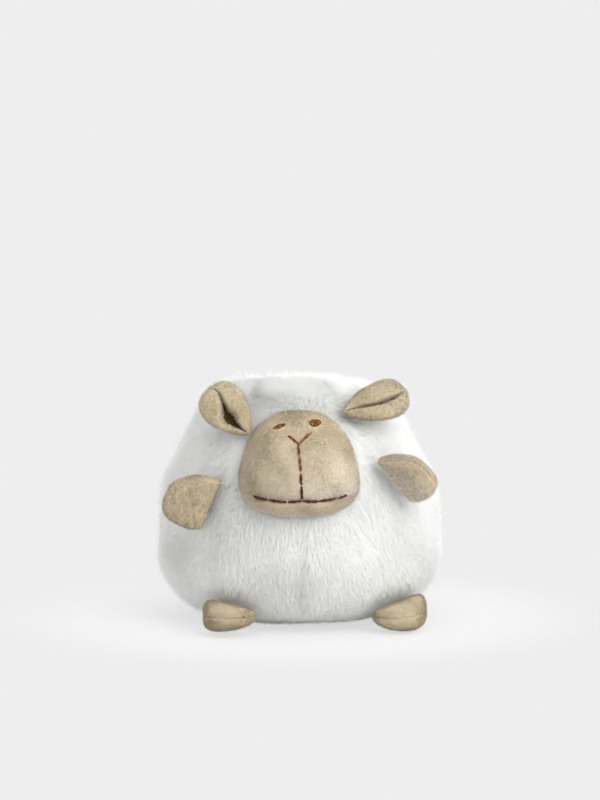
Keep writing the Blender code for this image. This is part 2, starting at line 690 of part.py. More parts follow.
def ear_layer(side, thickness):
    """Closed layer of an ear on one side of its seam: 1 the lining in the cup, -1 the fur behind it."""
    bm = bmesh.new()
    tip_to_x = Matrix.Rotation(math.radians(90.0), 4, "Y")
    bmesh.ops.create_uvsphere(bm, u_segments=EAR_SEGMENTS, v_segments=EAR_RINGS, radius=1.0, matrix=tip_to_x)
    for vert in bm.verts:
        ring = math.hypot(vert.co.y, vert.co.z)
        across = vert.co.y / ring if ring > 0.0 else 0.0
        lift = vert.co.z / ring if ring > 0.0 else 0.0
        share = (1.0 + vert.co.x) / 2.0
        width = ear_half_width(share)
        swell = width / EAR_HALF_WIDTH
        bulge = max(0.0, side * lift) * thickness * math.sqrt(swell)
        vert.co.x = EAR_LENGTH * share - EAR_ROOT_RADIUS
        vert.co.y = -width * across
        vert.co.z = -ear_cup(share, across) * swell - side * (SEAM_GAP / 2.0 + bulge)
    return bm


def build_ears(parts):
    """Both ears on their hinges: a short-pile lining in the cup and fur behind it."""
    places = {
        "ear_left": (EAR_LEFT_AZIMUTH, BODY_HEIGHT - EAR_LEFT_DROP, EAR_LEFT_TILT, EAR_LEFT_LIFT),
        "ear_right": (EAR_RIGHT_AZIMUTH, BODY_HEIGHT - EAR_RIGHT_DROP, EAR_RIGHT_TILT, EAR_RIGHT_LIFT),
    }
    for name, (azimuth, height, tilt, lift) in places.items():
        standoff = EAR_ROOT_RADIUS + SEAM_GAP
        hinge = empty_at(f"{name}_hinge", root_frame(azimuth, height, tilt, lift, standoff), parts)
        finish(ear_layer(1.0, EAR_LINING_THICKNESS), f"{name}_lining", PLUSH_COLOUR, parts, hinge)
        finish(ear_layer(-1.0, EAR_FUR_THICKNESS), f"{name}_fur_back", FUR_COLOUR, parts, hinge)


def main():
    """Clear the scene and build the sheep."""
    for item in list(bpy.data.objects):
        bpy.data.objects.remove(item)
    parts = collection("plush_sheep")
    cutters = collection("cutters")
    build_body_cover(parts, cutters)
    build_body_inside(parts, cutters)
    build_face(parts, cutters)
    build_embroidery(parts)
    build_ears(parts)
    build_arms(parts, cutters)
    build_feet(parts, cutters)
    build_tail(parts)


main()
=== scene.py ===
"""Plush sheep: the looks of a seated soft toy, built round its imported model.

Units are metres, +Z is up, the face looks along -Y, and left and right are those of the picture.
"""

import json
import logging
import math
from collections.abc import Callable, Sequence
from dataclasses import dataclass, field, replace
from enum import Enum

import bpy
import numpy as np
from bpy.types import Material, Node, NodeSocket, Object, World
from mathutils import Matrix, Vector
from mathutils.bvhtree import BVHTree
from mathutils.kdtree import KDTree

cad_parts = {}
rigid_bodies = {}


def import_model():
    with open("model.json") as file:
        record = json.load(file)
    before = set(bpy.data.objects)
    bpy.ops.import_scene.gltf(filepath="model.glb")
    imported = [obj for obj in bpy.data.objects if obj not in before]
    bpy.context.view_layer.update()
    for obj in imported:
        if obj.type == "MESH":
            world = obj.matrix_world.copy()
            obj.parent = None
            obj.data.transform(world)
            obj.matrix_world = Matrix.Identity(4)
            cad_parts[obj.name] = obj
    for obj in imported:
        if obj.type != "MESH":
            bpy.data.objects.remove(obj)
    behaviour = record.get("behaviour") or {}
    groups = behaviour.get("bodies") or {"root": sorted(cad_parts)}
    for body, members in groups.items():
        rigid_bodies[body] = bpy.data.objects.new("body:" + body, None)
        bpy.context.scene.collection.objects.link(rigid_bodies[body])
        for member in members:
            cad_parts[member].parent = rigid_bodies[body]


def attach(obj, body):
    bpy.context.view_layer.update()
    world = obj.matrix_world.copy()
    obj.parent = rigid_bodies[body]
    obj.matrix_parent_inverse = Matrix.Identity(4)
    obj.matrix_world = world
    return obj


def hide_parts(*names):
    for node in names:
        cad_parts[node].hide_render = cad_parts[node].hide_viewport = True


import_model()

LOG = logging.getLogger("plush_sheep")
Colour = tuple[float, float, float]
Array = np.ndarray
Test = Callable[[Array], Array]  # takes places
Lie = Callable[[Array, Array], Array]  # takes places and the outward directions there
Run = tuple[list[Vector], float]  # a thread's centre line and its thickness

UP = Vector((0.0, 0.0, 1.0))
BACK = Vector((0.0, 1.0, 0.0))
ALONG = Vector((1.0, 0.0, 0.0))
WHITE: Colour = (1.0, 1.0, 1.0)
MM = 0.001
FAR = 1.0  # further than anything on the sheep
SEAM_GAP = 0.3 * MM
FLOOR_CLEAR = 0.4 * MM
PUFF_FRAMES = 20
PIECE_FIBRES = 62000  # the most fibres that one piece of long pile holds
MIX_SHARE, MIX_FIRST, MIX_SECOND, MIX_RESULT = 0, 6, 7, 2  # a Mix node's sockets for colours
PILE_MAP = "pile"  # across it each fibre has a place of its own, and up it runs from root to tip
BAKE_MAP = "OFBake"  # here each fibre has a small square of its own
FOLD_MAP = "fold"  # how deep in its ear's fold each point lies


@dataclass(frozen=True)
class Outline:
    """Faces of one fibre: the corners of all, where each face starts, and every point's two map places."""

    corners: tuple[int, ...]
    starts: tuple[int, ...]
    heights: tuple[float, ...]
    spots: tuple[tuple[float, float], ...]


class Build(Enum):
    """How a fibre is made: a blade is one triangle, a bent blade is three."""

    BLADE = Outline((0, 1, 2), (0,), (0.0, 0.0, 1.0), ((0.1, 0.1), (0.9, 0.1), (0.5, 0.9)))
    BENT = Outline((0, 1, 2, 3, 3, 2, 4), (0, 4), (0.0, 0.0, 0.5, 0.5, 1.0),
                   ((0.1, 0.1), (0.9, 0.1), (0.9, 0.5), (0.1, 0.5), (0.5, 0.9)))


# Handling of objects


def only(obj: Object) -> Object:
    """Select one object alone, make it active and return it."""
    bpy.ops.object.select_all(action="DESELECT")
    obj.select_set(True)
    bpy.context.view_layer.objects.active = obj
    return obj


def apply_modifier(obj: Object, name: str) -> None:
    """Apply one modifier of an object."""
    only(obj)
    bpy.ops.object.modifier_apply(modifier=name)


def added(name: str, data: bpy.types.ID) -> Object:
    """Put a new object with some data into the scene and return it."""
    made = bpy.data.objects.new(name, data)
    bpy.context.scene.collection.objects.link(made)
    return made


def ball(name: str, segments: int, rings: int) -> Object:
    """Add a unit ball whose poles are on Z.

    Its faces come in any order, so they are put in one that is the same each run.

    Args:
        name: Name of the object and its mesh.
        segments: Faces round the ball.
        rings: Faces from pole to pole.

    Returns:
        The new object.
    """
    bpy.ops.object.select_all(action="DESELECT")
    bpy.ops.mesh.primitive_uv_sphere_add(segments=segments, ring_count=rings, radius=1.0)
    made = bpy.context.object
    made.name = made.data.name = name
    places = [vert.co.copy() for vert in made.data.vertices]
    faces = sorted(tuple(face.vertices) for face in made.data.polygons)
    made.data.clear_geometry()
    made.data.from_pydata(places, [], faces)
    return made


def shape(obj: Object, place: Callable[[Vector], Vector]) -> Object:
    """Move every point of an object to the place that a function gives, and return the object."""
    for vert in obj.data.vertices:
        vert.co = place(vert.co.copy())
    obj.data.update()
    return obj


def places_of(obj: Object) -> Array:
    """Places of an object's points, one row each."""
    found = np.empty(len(obj.data.vertices) * 3, np.float32)
    obj.data.vertices.foreach_get("co", found)
    return found.reshape(-1, 3).astype(float)


def ups_of(obj: Object) -> Array:
    """Outward directions at an object's points, one row each."""
    found = np.empty(len(obj.data.vertices) * 3, np.float32)
    obj.data.vertex_normals.foreach_get("vector", found)
    return found.reshape(-1, 3).astype(float)


def put_places(obj: Object, places: Array) -> None:
    """Write the places of an object's points."""
    obj.data.vertices.foreach_set("co", places.astype(np.float32).ravel())
    obj.data.update()


def press_in(obj: Object, depths: Array, lowest: float) -> None:
    """Press an object's points in, each by its own depth, and keep them above a height."""
    places = places_of(obj) - ups_of(obj) * depths[:, None]
    places[:, 2] = np.maximum(places[:, 2], lowest)
    put_places(obj, places)


def unit(rows: Array) -> Array:
    """Rows scaled to length one."""
    return rows / np.maximum(np.linalg.norm(rows, axis=-1, keepdims=True), 1e-12)


def bell(distance: Array, width: float) -> Array:
    """Share that is 1 where a distance is 0 and fades over a width."""
    return np.exp(-((distance / width) ** 2))


def power(value: float, exponent: float) -> float:
    """Raise the size of a value to an exponent and keep its sign."""
    return math.copysign(abs(value) ** exponent, value)


def dress(obj: Object, finish: Material) -> Object:
    """Give an object its material and return it."""
    obj.data.materials.clear()
    obj.data.materials.append(finish)
    return obj


def settle(piece: Object, body: str, slot: str, *nodes: str) -> None:
    """Say where a finished piece belongs.

    Args:
        piece: The piece.
        body: The body that it rides on.
        slot: The material slot that its finish comes from; not used.
        nodes: The CAD nodes that it stands for.
    """
    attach(piece, body)
    if nodes:
        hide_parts(*nodes)


def even_out(obj: Object, voxel: float) -> None:
    """Remesh a closed form into even faces, each about a voxel wide."""
    mesher = obj.modifiers.new("even", "REMESH")
    mesher.mode = "VOXEL"
    mesher.voxel_size = voxel
    apply_modifier(obj, mesher.name)


def refine(obj: Object) -> None:
    """Subdivide a form once and shade it smooth."""
    finer = obj.modifiers.new("finer", "SUBSURF")
    finer.levels = finer.render_levels = 1
    apply_modifier(obj, finer.name)
    obj.data.shade_smooth()


def puff(obj: Object, held: Test, cap: float, pressure: float = 4.0) -> None:
    """Swell a stuffed form with a cloth simulation, and hold it along its seams.

    Args:
        obj: Closed form, slightly smaller than it ends.
        held: Picks out the points on seams, which stay.
        cap: The most that a point moves.
        pressure: Pressure of the stuffing.
    """
    before = places_of(obj)
    seam = obj.vertex_groups.new(name="seam")
    seam.add(np.flatnonzero(held(before)).tolist(), 1.0, "REPLACE")
    cloth = obj.modifiers.new("stuffing", "CLOTH")
    cloth.settings.use_pressure = True
    cloth.settings.uniform_pressure_force = pressure
    cloth.settings.effector_weights.gravity = 0.0
    cloth.settings.vertex_group_mass = seam.name
    for step in range(1, PUFF_FRAMES + 1):
        bpy.context.scene.frame_set(step)
    grown = obj.evaluated_get(bpy.context.evaluated_depsgraph_get())
    moved = places_of(grown) - before
    far = np.linalg.norm(moved, axis=1, keepdims=True)
    obj.modifiers.remove(cloth)
    obj.vertex_groups.remove(seam)
    put_places(obj, before + moved * np.minimum(1.0, cap / np.maximum(far, 1e-9)))
    bpy.context.scene.frame_set(1)


def halve(whole: Object, place: Vector, square: Vector, names: tuple[str, str]) -> list[Object]:
    """Cut a closed form along a seam's plane into two closed pieces, in its stead.

    Args:
        whole: The form, which is removed.
        place: A point of the seam's plane.
        square: Direction square to the plane.
        names: Names of the piece that this direction points to and of the other one.

    Returns:
        Both pieces.
    """
    halves = []
    for name, side in zip(names, (1.0, -1.0)):
        half = added(name, whole.data.copy())
        half.data.name = name
        only(half)
        bpy.ops.object.mode_set(mode="EDIT")
        bpy.ops.mesh.select_all(action="SELECT")
        shift = place + side * square * SEAM_GAP / 4.0
        bpy.ops.mesh.bisect(plane_co=shift, plane_no=side * square, use_fill=True, clear_inner=True)
        bpy.ops.object.mode_set(mode="OBJECT")
        halves.append(half)
    bpy.data.objects.remove(whole)
    return halves


# Finishes


@dataclass(frozen=True)
class ShadeZone:
    """A zone of pile with painted shade: its colour is darkened where less light falls, and the shade fades
    out along one direction.

    It is measured in the front view: a direction, and where along it the shade starts and ends.
    """

    across: float
    up: float
    start: float
    end: float
    shade: Colour


class Wiring:
    """Nodes of a material or of the world, made one after another."""

    NOISE_ROUGHNESS = 0.55
    SHEEN_ROUGHNESS = 0.6
    GLOSS = 0.2

    def __init__(self, owner: Material | World) -> None:
        """Start with the nodes that the owner has."""
        owner.use_nodes = True
        self.owner = owner
        self.tree = owner.node_tree

    @property
    def shader(self) -> Node:
        """The material's own shader."""
        return self.tree.nodes["Principled BSDF"]

    def node(self, kind: str, **settings: object) -> Node:
        """Add a node.

        Args:
            kind: Its type.
            settings: Values of its sockets and options, by name.

        Returns:
            The node.
        """
        made = self.tree.nodes.new(kind)
        for key, value in settings.items():
            if key in made.inputs:
                made.inputs[key].default_value = value
            else:
                setattr(made, key, value)
        return made

    def link(self, source: NodeSocket, target: NodeSocket) -> None:
        """Join two sockets."""
        self.tree.links.new(source, target)

    def noise(self, size: float, detail: float) -> NodeSocket:
        """Noise over the object's own coordinates.

        Args:
            size: Size of its patches.
            detail: How much finer it also goes.

        Returns:
            Socket of the amount.
        """
        place = self.node("ShaderNodeTexCoord")
        made = self.node("ShaderNodeTexNoise", Scale=1.0 / size, Detail=detail,
                         Roughness=self.NOISE_ROUGHNESS)
        self.link(place.outputs["Object"], made.inputs["Vector"])
        return made.outputs["Fac"]

    def ramp(self, amount: NodeSocket, *stops: tuple[float, Colour]) -> NodeSocket:
        """Colours along an amount.

        Args:
            amount: Socket that gives the amount.
            stops: Places from 0 to 1 with their colours, two or more.

        Returns:
            Socket of the colour.
        """
        made = self.node("ShaderNodeValToRGB")
        band = made.color_ramp
        while len(band.elements) < len(stops):
            band.elements.new(0.5)
        for element, (place, colour) in zip(band.elements, stops):
            element.position = place
            element.color = (*colour, 1.0)
        self.link(amount, made.inputs["Fac"])
        return made.outputs["Color"]

    def multiply(self, first: NodeSocket, second: NodeSocket, share: float = 1.0) -> NodeSocket:
        """Multiply a colour by a share of another, and return the socket."""
        made = self.node("ShaderNodeMix", data_type="RGBA", blend_type="MULTIPLY")
        made.inputs[MIX_SHARE].default_value = share
        self.link(first, made.inputs[MIX_FIRST])
        self.link(second, made.inputs[MIX_SECOND])
        return made.outputs[MIX_RESULT]

    def stretch(self, amount: NodeSocket, start: float, end: float, least: float = 0.0) -> NodeSocket:
        """Rise smoothly as an amount goes from a start to an end.

        Args:
            amount: Socket that gives the amount.
            start: Where the rise starts.
            end: Where it ends, at 1.
            least: Value before the start.

        Returns:
            Socket of the value.
        """
        made = self.node("ShaderNodeMapRange", interpolation_type="SMOOTHSTEP",
                         **{"From Min": start, "From Max": end, "To Min": least})
        self.link(amount, made.inputs["Value"])
        return made.outputs["Result"]

    def zone_shade(self, shade_zone: ShadeZone) -> NodeSocket:
        """Painted shade of a zone, which fades to white where the zone ends."""
        place = self.node("ShaderNodeTexCoord")
        far = self.node("ShaderNodeVectorMath", operation="DOT_PRODUCT")
        far.inputs[1].default_value = (shade_zone.across, 0.0, shade_zone.up)
        self.link(place.outputs["Object"], far.inputs[0])
        share = self.stretch(far.outputs["Value"], shade_zone.start, shade_zone.end)
        return self.ramp(share, (0.0, shade_zone.shade), (1.0, WHITE))

    def mixed(self, share: float | NodeSocket, first: NodeSocket, second: NodeSocket) -> NodeSocket:
        """Mix two surfaces.

        Args:
            share: Share of the second, or the socket that gives it.
            first: The first surface.
            second: The second surface.

        Returns:
            Socket of the mix.
        """
        made = self.node("ShaderNodeMixShader")
        if isinstance(share, float):
            made.inputs[0].default_value = share
        else:
            self.link(share, made.inputs[0])
        self.link(first, made.inputs[1])
        self.link(second, made.inputs[2])
        return made.outputs[0]

    def relief(self, height: NodeSocket, strength: float, depth: float) -> None:
        """Give the shader a fine relief."""
        bump = self.node("ShaderNodeBump", Strength=strength, Distance=depth)
        self.link(height, bump.inputs["Height"])
        self.link(bump.outputs["Normal"], self.shader.inputs["Normal"])

    def surface(self, colour: NodeSocket, roughness: float, sheen: float, tint: Colour) -> None:
        """Set the shader's colour and its even values.

        Args:
            colour: Socket of the colour.
            roughness: How rough the surface is.
            sheen: Strength of the sheen.
            tint: Colour of the sheen.
        """
        values = self.shader.inputs
        self.link(colour, values["Base Color"])
        values["Roughness"].default_value = roughness
        values["Sheen Weight"].default_value = sheen
        values["Sheen Roughness"].default_value = self.SHEEN_ROUGHNESS
        values["Sheen Tint"].default_value = (*tint, 1.0)
        values["Specular IOR Level"].default_value = self.GLOSS

    def seen(self) -> NodeSocket:
        """Amount that is 1 for rays that should meet the plain backdrop."""
        path = self.node("ShaderNodeLightPath")
        total = path.outputs["Is Camera Ray"]
        for name in ("Is Glossy Ray", "Is Transmission Ray"):
            more = self.node("ShaderNodeMath", operation="MAXIMUM")
            self.link(total, more.inputs[0])
            self.link(path.outputs[name], more.inputs[1])
            total = more.outputs[0]
        return total


def new_wiring(name: str) -> Wiring:
    """Start a material."""
    return Wiring(bpy.data.materials.new(name))


def grey(level: float) -> Colour:
    """Grey of a level."""
    return (level, level, level)


@dataclass(frozen=True)
class PileFinish:
    """Finish of fibres, whose colour runs from root to tip and differs from fibre to fibre.

    Part of the light that meets a fibre goes through it, as in real fibres.
    """

    name: str
    root: Colour
    tip: Colour
    dark: Colour
    patch: float
    patch_share: float
    grain_share: float
    sheen: float
    through: float
    grain: float = 1.1 * MM
    # zone of painted shade, if the piece has one
    shade_zone: ShadeZone | None = None

    TIP_START = 0.55
    SINGLE_START = 0.5
    PATCH_BAND = (0.38, 0.62)
    GRAIN_BAND = (0.36, 0.6)
    ROUGHNESS = 0.9
    SHEEN_TINT: Colour = field(default=(1.0, 0.98, 0.94), init=False)

    def make(self) -> Material:
        """Build the material and return it."""
        work = new_wiring(self.name)
        where = work.node("ShaderNodeUVMap", uv_map=PILE_MAP)
        parts = work.node("ShaderNodeSeparateXYZ")
        work.link(where.outputs["UV"], parts.inputs["Vector"])
        length = work.ramp(parts.outputs["Y"], (0.0, self.root), (self.TIP_START, self.tip), (1.0, self.tip))
        fibre = work.node("ShaderNodeTexWhiteNoise", noise_dimensions="1D")
        work.link(parts.outputs["X"], fibre.inputs["W"])
        single = work.ramp(fibre.outputs["Value"], (0.0, self.dark), (self.SINGLE_START, WHITE))
        colour = work.multiply(length, single)
        for noise, band, share in (
            (work.noise(self.patch, 3.0), self.PATCH_BAND, self.patch_share),
            (work.noise(self.grain, 1.0), self.GRAIN_BAND, self.grain_share),
        ):
            colour = work.multiply(colour, work.ramp(noise, (band[0], self.dark), (band[1], WHITE)), share)
        # painted shade: darkens part of the piece where less light falls
        if self.shade_zone is not None:
            colour = work.multiply(colour, work.zone_shade(self.shade_zone))
        work.surface(colour, self.ROUGHNESS, self.sheen, self.SHEEN_TINT)
        passing = work.node("ShaderNodeBsdfTranslucent")
        work.link(colour, passing.inputs["Color"])
        both = work.mixed(self.through, work.shader.outputs["BSDF"], passing.outputs["BSDF"])
        work.link(both, work.tree.nodes["Material Output"].inputs["Surface"])
        return work.owner


@dataclass(frozen=True)
class ClothFinish:
    """Finish of the woven backing that the pile grows from."""

    name: str
    low: Colour
    high: Colour
    patch: float = 9.0 * MM
    patch_band: tuple[float, float] = (0.3, 0.7)
    weave: float = 0.7 * MM
    weave_band: tuple[float, float] = (0.25, 0.7)
    weave_dark: float = 0.8
    weave_depth: float = 0.3 * MM

    def make(self) -> Material:
        """Build the material and return it."""
        work = new_wiring(self.name)
        low, high = self.patch_band
        patches = work.ramp(work.noise(self.patch, 4.0), (low, self.low), (high, self.high))
        fine = work.noise(self.weave, 2.0)
        low, high = self.weave_band
        grain = work.ramp(fine, (low, grey(self.weave_dark)), (high, WHITE))
        work.relief(fine, 0.5, self.weave_depth)
        work.surface(work.multiply(patches, grain), 0.95, 0.3, self.high)
        return work.owner


@dataclass(frozen=True)
class FoldShadeFinish:
    """Finish of an ear's backing, with painted shade that darkens it with the depth of its fold."""

    name: str
    open: Colour
    # painted shade where the fold is deepest
    deep: Colour
    depth_band: tuple[float, float] = (0.15, 0.6)
    weave: float = 0.7 * MM
    weave_band: tuple[float, float] = (0.25, 0.7)
    weave_dark: float = 0.75

    def make(self) -> Material:
        """Build the material and return it."""
        work = new_wiring(self.name)
        depth = work.node("ShaderNodeAttribute", attribute_name=FOLD_MAP)
        low, high = self.depth_band
        colour = work.ramp(depth.outputs["Fac"], (low, self.open), (high, self.deep))
        low, high = self.weave_band
        grain = work.ramp(work.noise(self.weave, 2.0), (low, grey(self.weave_dark)), (high, WHITE))
        work.surface(work.multiply(colour, grain), 0.95, 0.0, self.open)
        return work.owner


@dataclass(frozen=True)
class ThreadFinish:
    """Finish of embroidery thread, with a satin gleam and darker stretches."""

    name: str
    dark: Colour
    middle: Colour
    light: Colour
    stretch: float = 2.6 * MM
    strand: float = 0.12 * MM
    strand_dark: float = 0.6
    strand_depth: float = 0.08 * MM

    def make(self) -> Material:
        """Build the material and return it."""
        work = new_wiring(self.name)
        stretch = work.noise(self.stretch, 2.0)
        colour = work.ramp(stretch, (0.34, self.dark), (0.5, self.middle), (0.66, self.light))
        strands = work.noise(self.strand, 1.0)
        shade = work.ramp(strands, (0.3, grey(self.strand_dark)), (0.7, WHITE))
        work.relief(strands, 0.4, self.strand_depth)
        work.surface(work.multiply(colour, shade), 0.5, 0.15, self.light)
        return work.owner


LOW_BEIGE: Colour = (0.5, 0.42, 0.29)
BEIGE_PILE = PileFinish("beige_plush", root=LOW_BEIGE, tip=(0.67, 0.59, 0.45), dark=(0.8, 0.78, 0.74),
                        patch=5 * MM, patch_share=0.4, grain_share=0.9, sheen=0.5, through=0.3)
ROUGH_PILE = PileFinish("rough_plush", root=LOW_BEIGE, tip=(0.74, 0.655, 0.5), dark=(0.58, 0.55, 0.5),
                        patch=2.4 * MM, patch_share=0.35, grain_share=1.0, sheen=0.4, through=0.3,
                        grain=1.8 * MM)
WHITE_PILE = PileFinish("white_fur", root=(0.975, 0.975, 0.96), tip=(0.985, 0.985, 0.97),
                        dark=(0.94, 0.95, 0.95), patch=14 * MM, patch_share=0.5, grain_share=0.1,
                        sheen=0.1, through=0.45)
# Painted shade on the face, darker towards its left side, which is turned from the key light.
CHEEK_PAINTED_SHADE = ShadeZone(1.0, 0.0, -34 * MM, 22 * MM, (0.6, 0.56, 0.5))
# Painted shade over the right arm's upper part, which faces the lamps; lighter below.
ARM_PAINTED_SHADE = ShadeZone(0.41, 0.91, 123 * MM, 110 * MM, (0.62, 0.59, 0.54))


def once(finish: PileFinish | ClothFinish | FoldShadeFinish | ThreadFinish) -> Material:
    """Field of the wardrobe whose material a finish makes."""
    return field(default_factory=finish.make)


@dataclass
class Wardrobe:
    """All the finishes of the sheep, each made once."""

    fur: Material = once(WHITE_PILE)
    fur_cloth: Material = once(ClothFinish("white_backing", (0.88, 0.88, 0.86), (0.94, 0.94, 0.92)))
    plush: Material = once(BEIGE_PILE)
    # Face pile: its paler tip is painted light for the lit right side, with painted shade towards its left.
    face: Material = once(replace(BEIGE_PILE, name="face_plush", root=(0.55, 0.48, 0.36),
                                  tip=(0.87, 0.83, 0.74), grain=1.4 * MM, shade_zone=CHEEK_PAINTED_SHADE))
    rough: Material = once(ROUGH_PILE)
    # Darker copy of the rough pile for the right ear: painted shade against the key light on that side.
    rough_right_painted_shade: Material = once(replace(ROUGH_PILE, name="rough_plush_right_painted_shade", tip=(0.6, 0.53, 0.4)))
    # Lighter copy of the rough pile for the right arm: painted light in its shaded lower part, painted shade
    # over its upper part.
    rough_arm_painted_light_and_shade: Material = once(replace(ROUGH_PILE, name="rough_plush_arm_painted_light_and_shade", root=(0.7, 0.62, 0.5),
                                       tip=(0.94, 0.87, 0.76), patch_share=0.3, grain_share=0.8,
                                       shade_zone=ARM_PAINTED_SHADE))
    plush_cloth: Material = once(ClothFinish("beige_backing", (0.4, 0.33, 0.22), (0.48, 0.4, 0.27)))
    # Ear backing with painted shade, darkening deep in the fold.
    shaded_fold_cloth: Material = once(FoldShadeFinish("fold_backing_painted_shade", (0.42, 0.35, 0.23), (0.07, 0.04, 0.016)))
    chin: Material = once(replace(BEIGE_PILE, name="chin_plush", root=(0.5, 0.41, 0.31),
                                  tip=(0.68, 0.585, 0.47), dark=(0.8, 0.78, 0.75)))
    thread: Material = once(ThreadFinish("dark_thread", (0.03, 0.006, 0.003), (0.065, 0.013, 0.005),
                                         (0.12, 0.03, 0.01)))
    nose_thread: Material = once(ThreadFinish("tan_thread", (0.06, 0.016, 0.005), (0.18, 0.055, 0.012),
                                              (0.36, 0.14, 0.035)))
    eye_thread: Material = once(ThreadFinish("eye_thread", (0.02, 0.006, 0.002), (0.11, 0.036, 0.008),
                                             (0.42, 0.17, 0.034), stretch=1.2 * MM))


# Surfaces and pile


@dataclass
class Surface:
    """Triangles of a finished form, on which pile grows and which pile keeps out of."""

    corners: Array
    ups: Array
    low: Array
    high: Array
    tree: BVHTree

    @classmethod
    def of(cls, obj: Object) -> "Surface":
        """Record the surface of an object."""
        mesh = obj.data
        mesh.calc_loop_triangles()
        index = np.empty(len(mesh.loop_triangles) * 3, np.int32)
        mesh.loop_triangles.foreach_get("vertices", index)
        index = index.reshape(-1, 3)
        places = places_of(obj)
        tree = BVHTree.FromPolygons(places.tolist(), index.tolist())
        return cls(places[index], ups_of(obj)[index], places.min(axis=0), places.max(axis=0), tree)

    def inside(self, places: Array) -> Array:
        """Whether each place lies inside the form."""
        near = np.all((places > self.low) & (places < self.high), axis=1)
        found = np.zeros(len(places), bool)
        for index in np.flatnonzero(near):
            place = Vector(places[index])
            spot, out, _, _ = self.tree.find_nearest(place)
            found[index] = (place - spot).dot(out) < 0.0
        return found

    def away(self, places: Array, margin: float) -> Array:
        """Distance of each place from the form.

        Args:
            places: The places.
            margin: Distance given for those that are further off.

        Returns:
            The distances.
        """
        near = np.all((places > self.low - margin) & (places < self.high + margin), axis=1)
        found = np.full(len(places), margin)
        for index in np.flatnonzero(near):
            _, _, _, far = self.tree.find_nearest(Vector(places[index]), margin)
            found[index] = margin if far is None else far
        return found

    def front(self, x: float, z: float) -> tuple[Vector, Vector]:
        """Place and outward direction of the form's front at a place in the front view."""
        spot, out, _, _ = self.tree.ray_cast(Vector((x, -FAR, z)), BACK)
        return spot, out

    def scatter(self, density: float, rng: np.random.Generator) -> tuple[Array, Array]:
        """Random places on the surface and the outward directions there.

        Args:
            density: Places on a square metre.
            rng: Source of the random draws.

        Returns:
            Places and directions, one row each.
        """
        a, b, c = self.corners[:, 0], self.corners[:, 1], self.corners[:, 2]
        area = np.linalg.norm(np.cross(b - a, c - a), axis=1) / 2.0
        total = np.cumsum(area)
        count = int(density * total[-1])
        pick = np.searchsorted(total, rng.uniform(0.0, total[-1], count))
        pick = np.minimum(pick, len(total) - 1)
        u, v = rng.uniform(size=(2, count, 1))
        over = u + v > 1.0
        u, v = np.where(over, 1.0 - u, u), np.where(over, 1.0 - v, v)
        spots = a[pick] * (1.0 - u - v) + b[pick] * u + c[pick] * v
        ups = self.ups[pick]
        return spots, unit(ups[:, 0] * (1.0 - u - v) + ups[:, 1] * u + ups[:, 2] * v)


class Breeze:
    """Smooth random directions over space, which neighbouring fibres share."""

    WAVES = 20

    def __init__(self, size: float, seed: int) -> None:
        """Draw the waves.

        Args:
            size: Size of the swirls that they add up to.
            seed: Start of the random draws.
        """
        rng = np.random.default_rng(seed)
        self.waves = rng.normal(size=(3, self.WAVES)) * 2.0 / size
        self.phases = rng.uniform(0.0, 2.0 * math.pi, (3, self.WAVES))

    def at(self, places: Array) -> Array:
        """Direction at each place, about one long."""
        turn = places @ self.waves
        sums = [np.cos(turn + phase).sum(axis=1) for phase in self.phases]
        return np.stack(sums, axis=1) * math.sqrt(2.0 / (3.0 * self.WAVES))


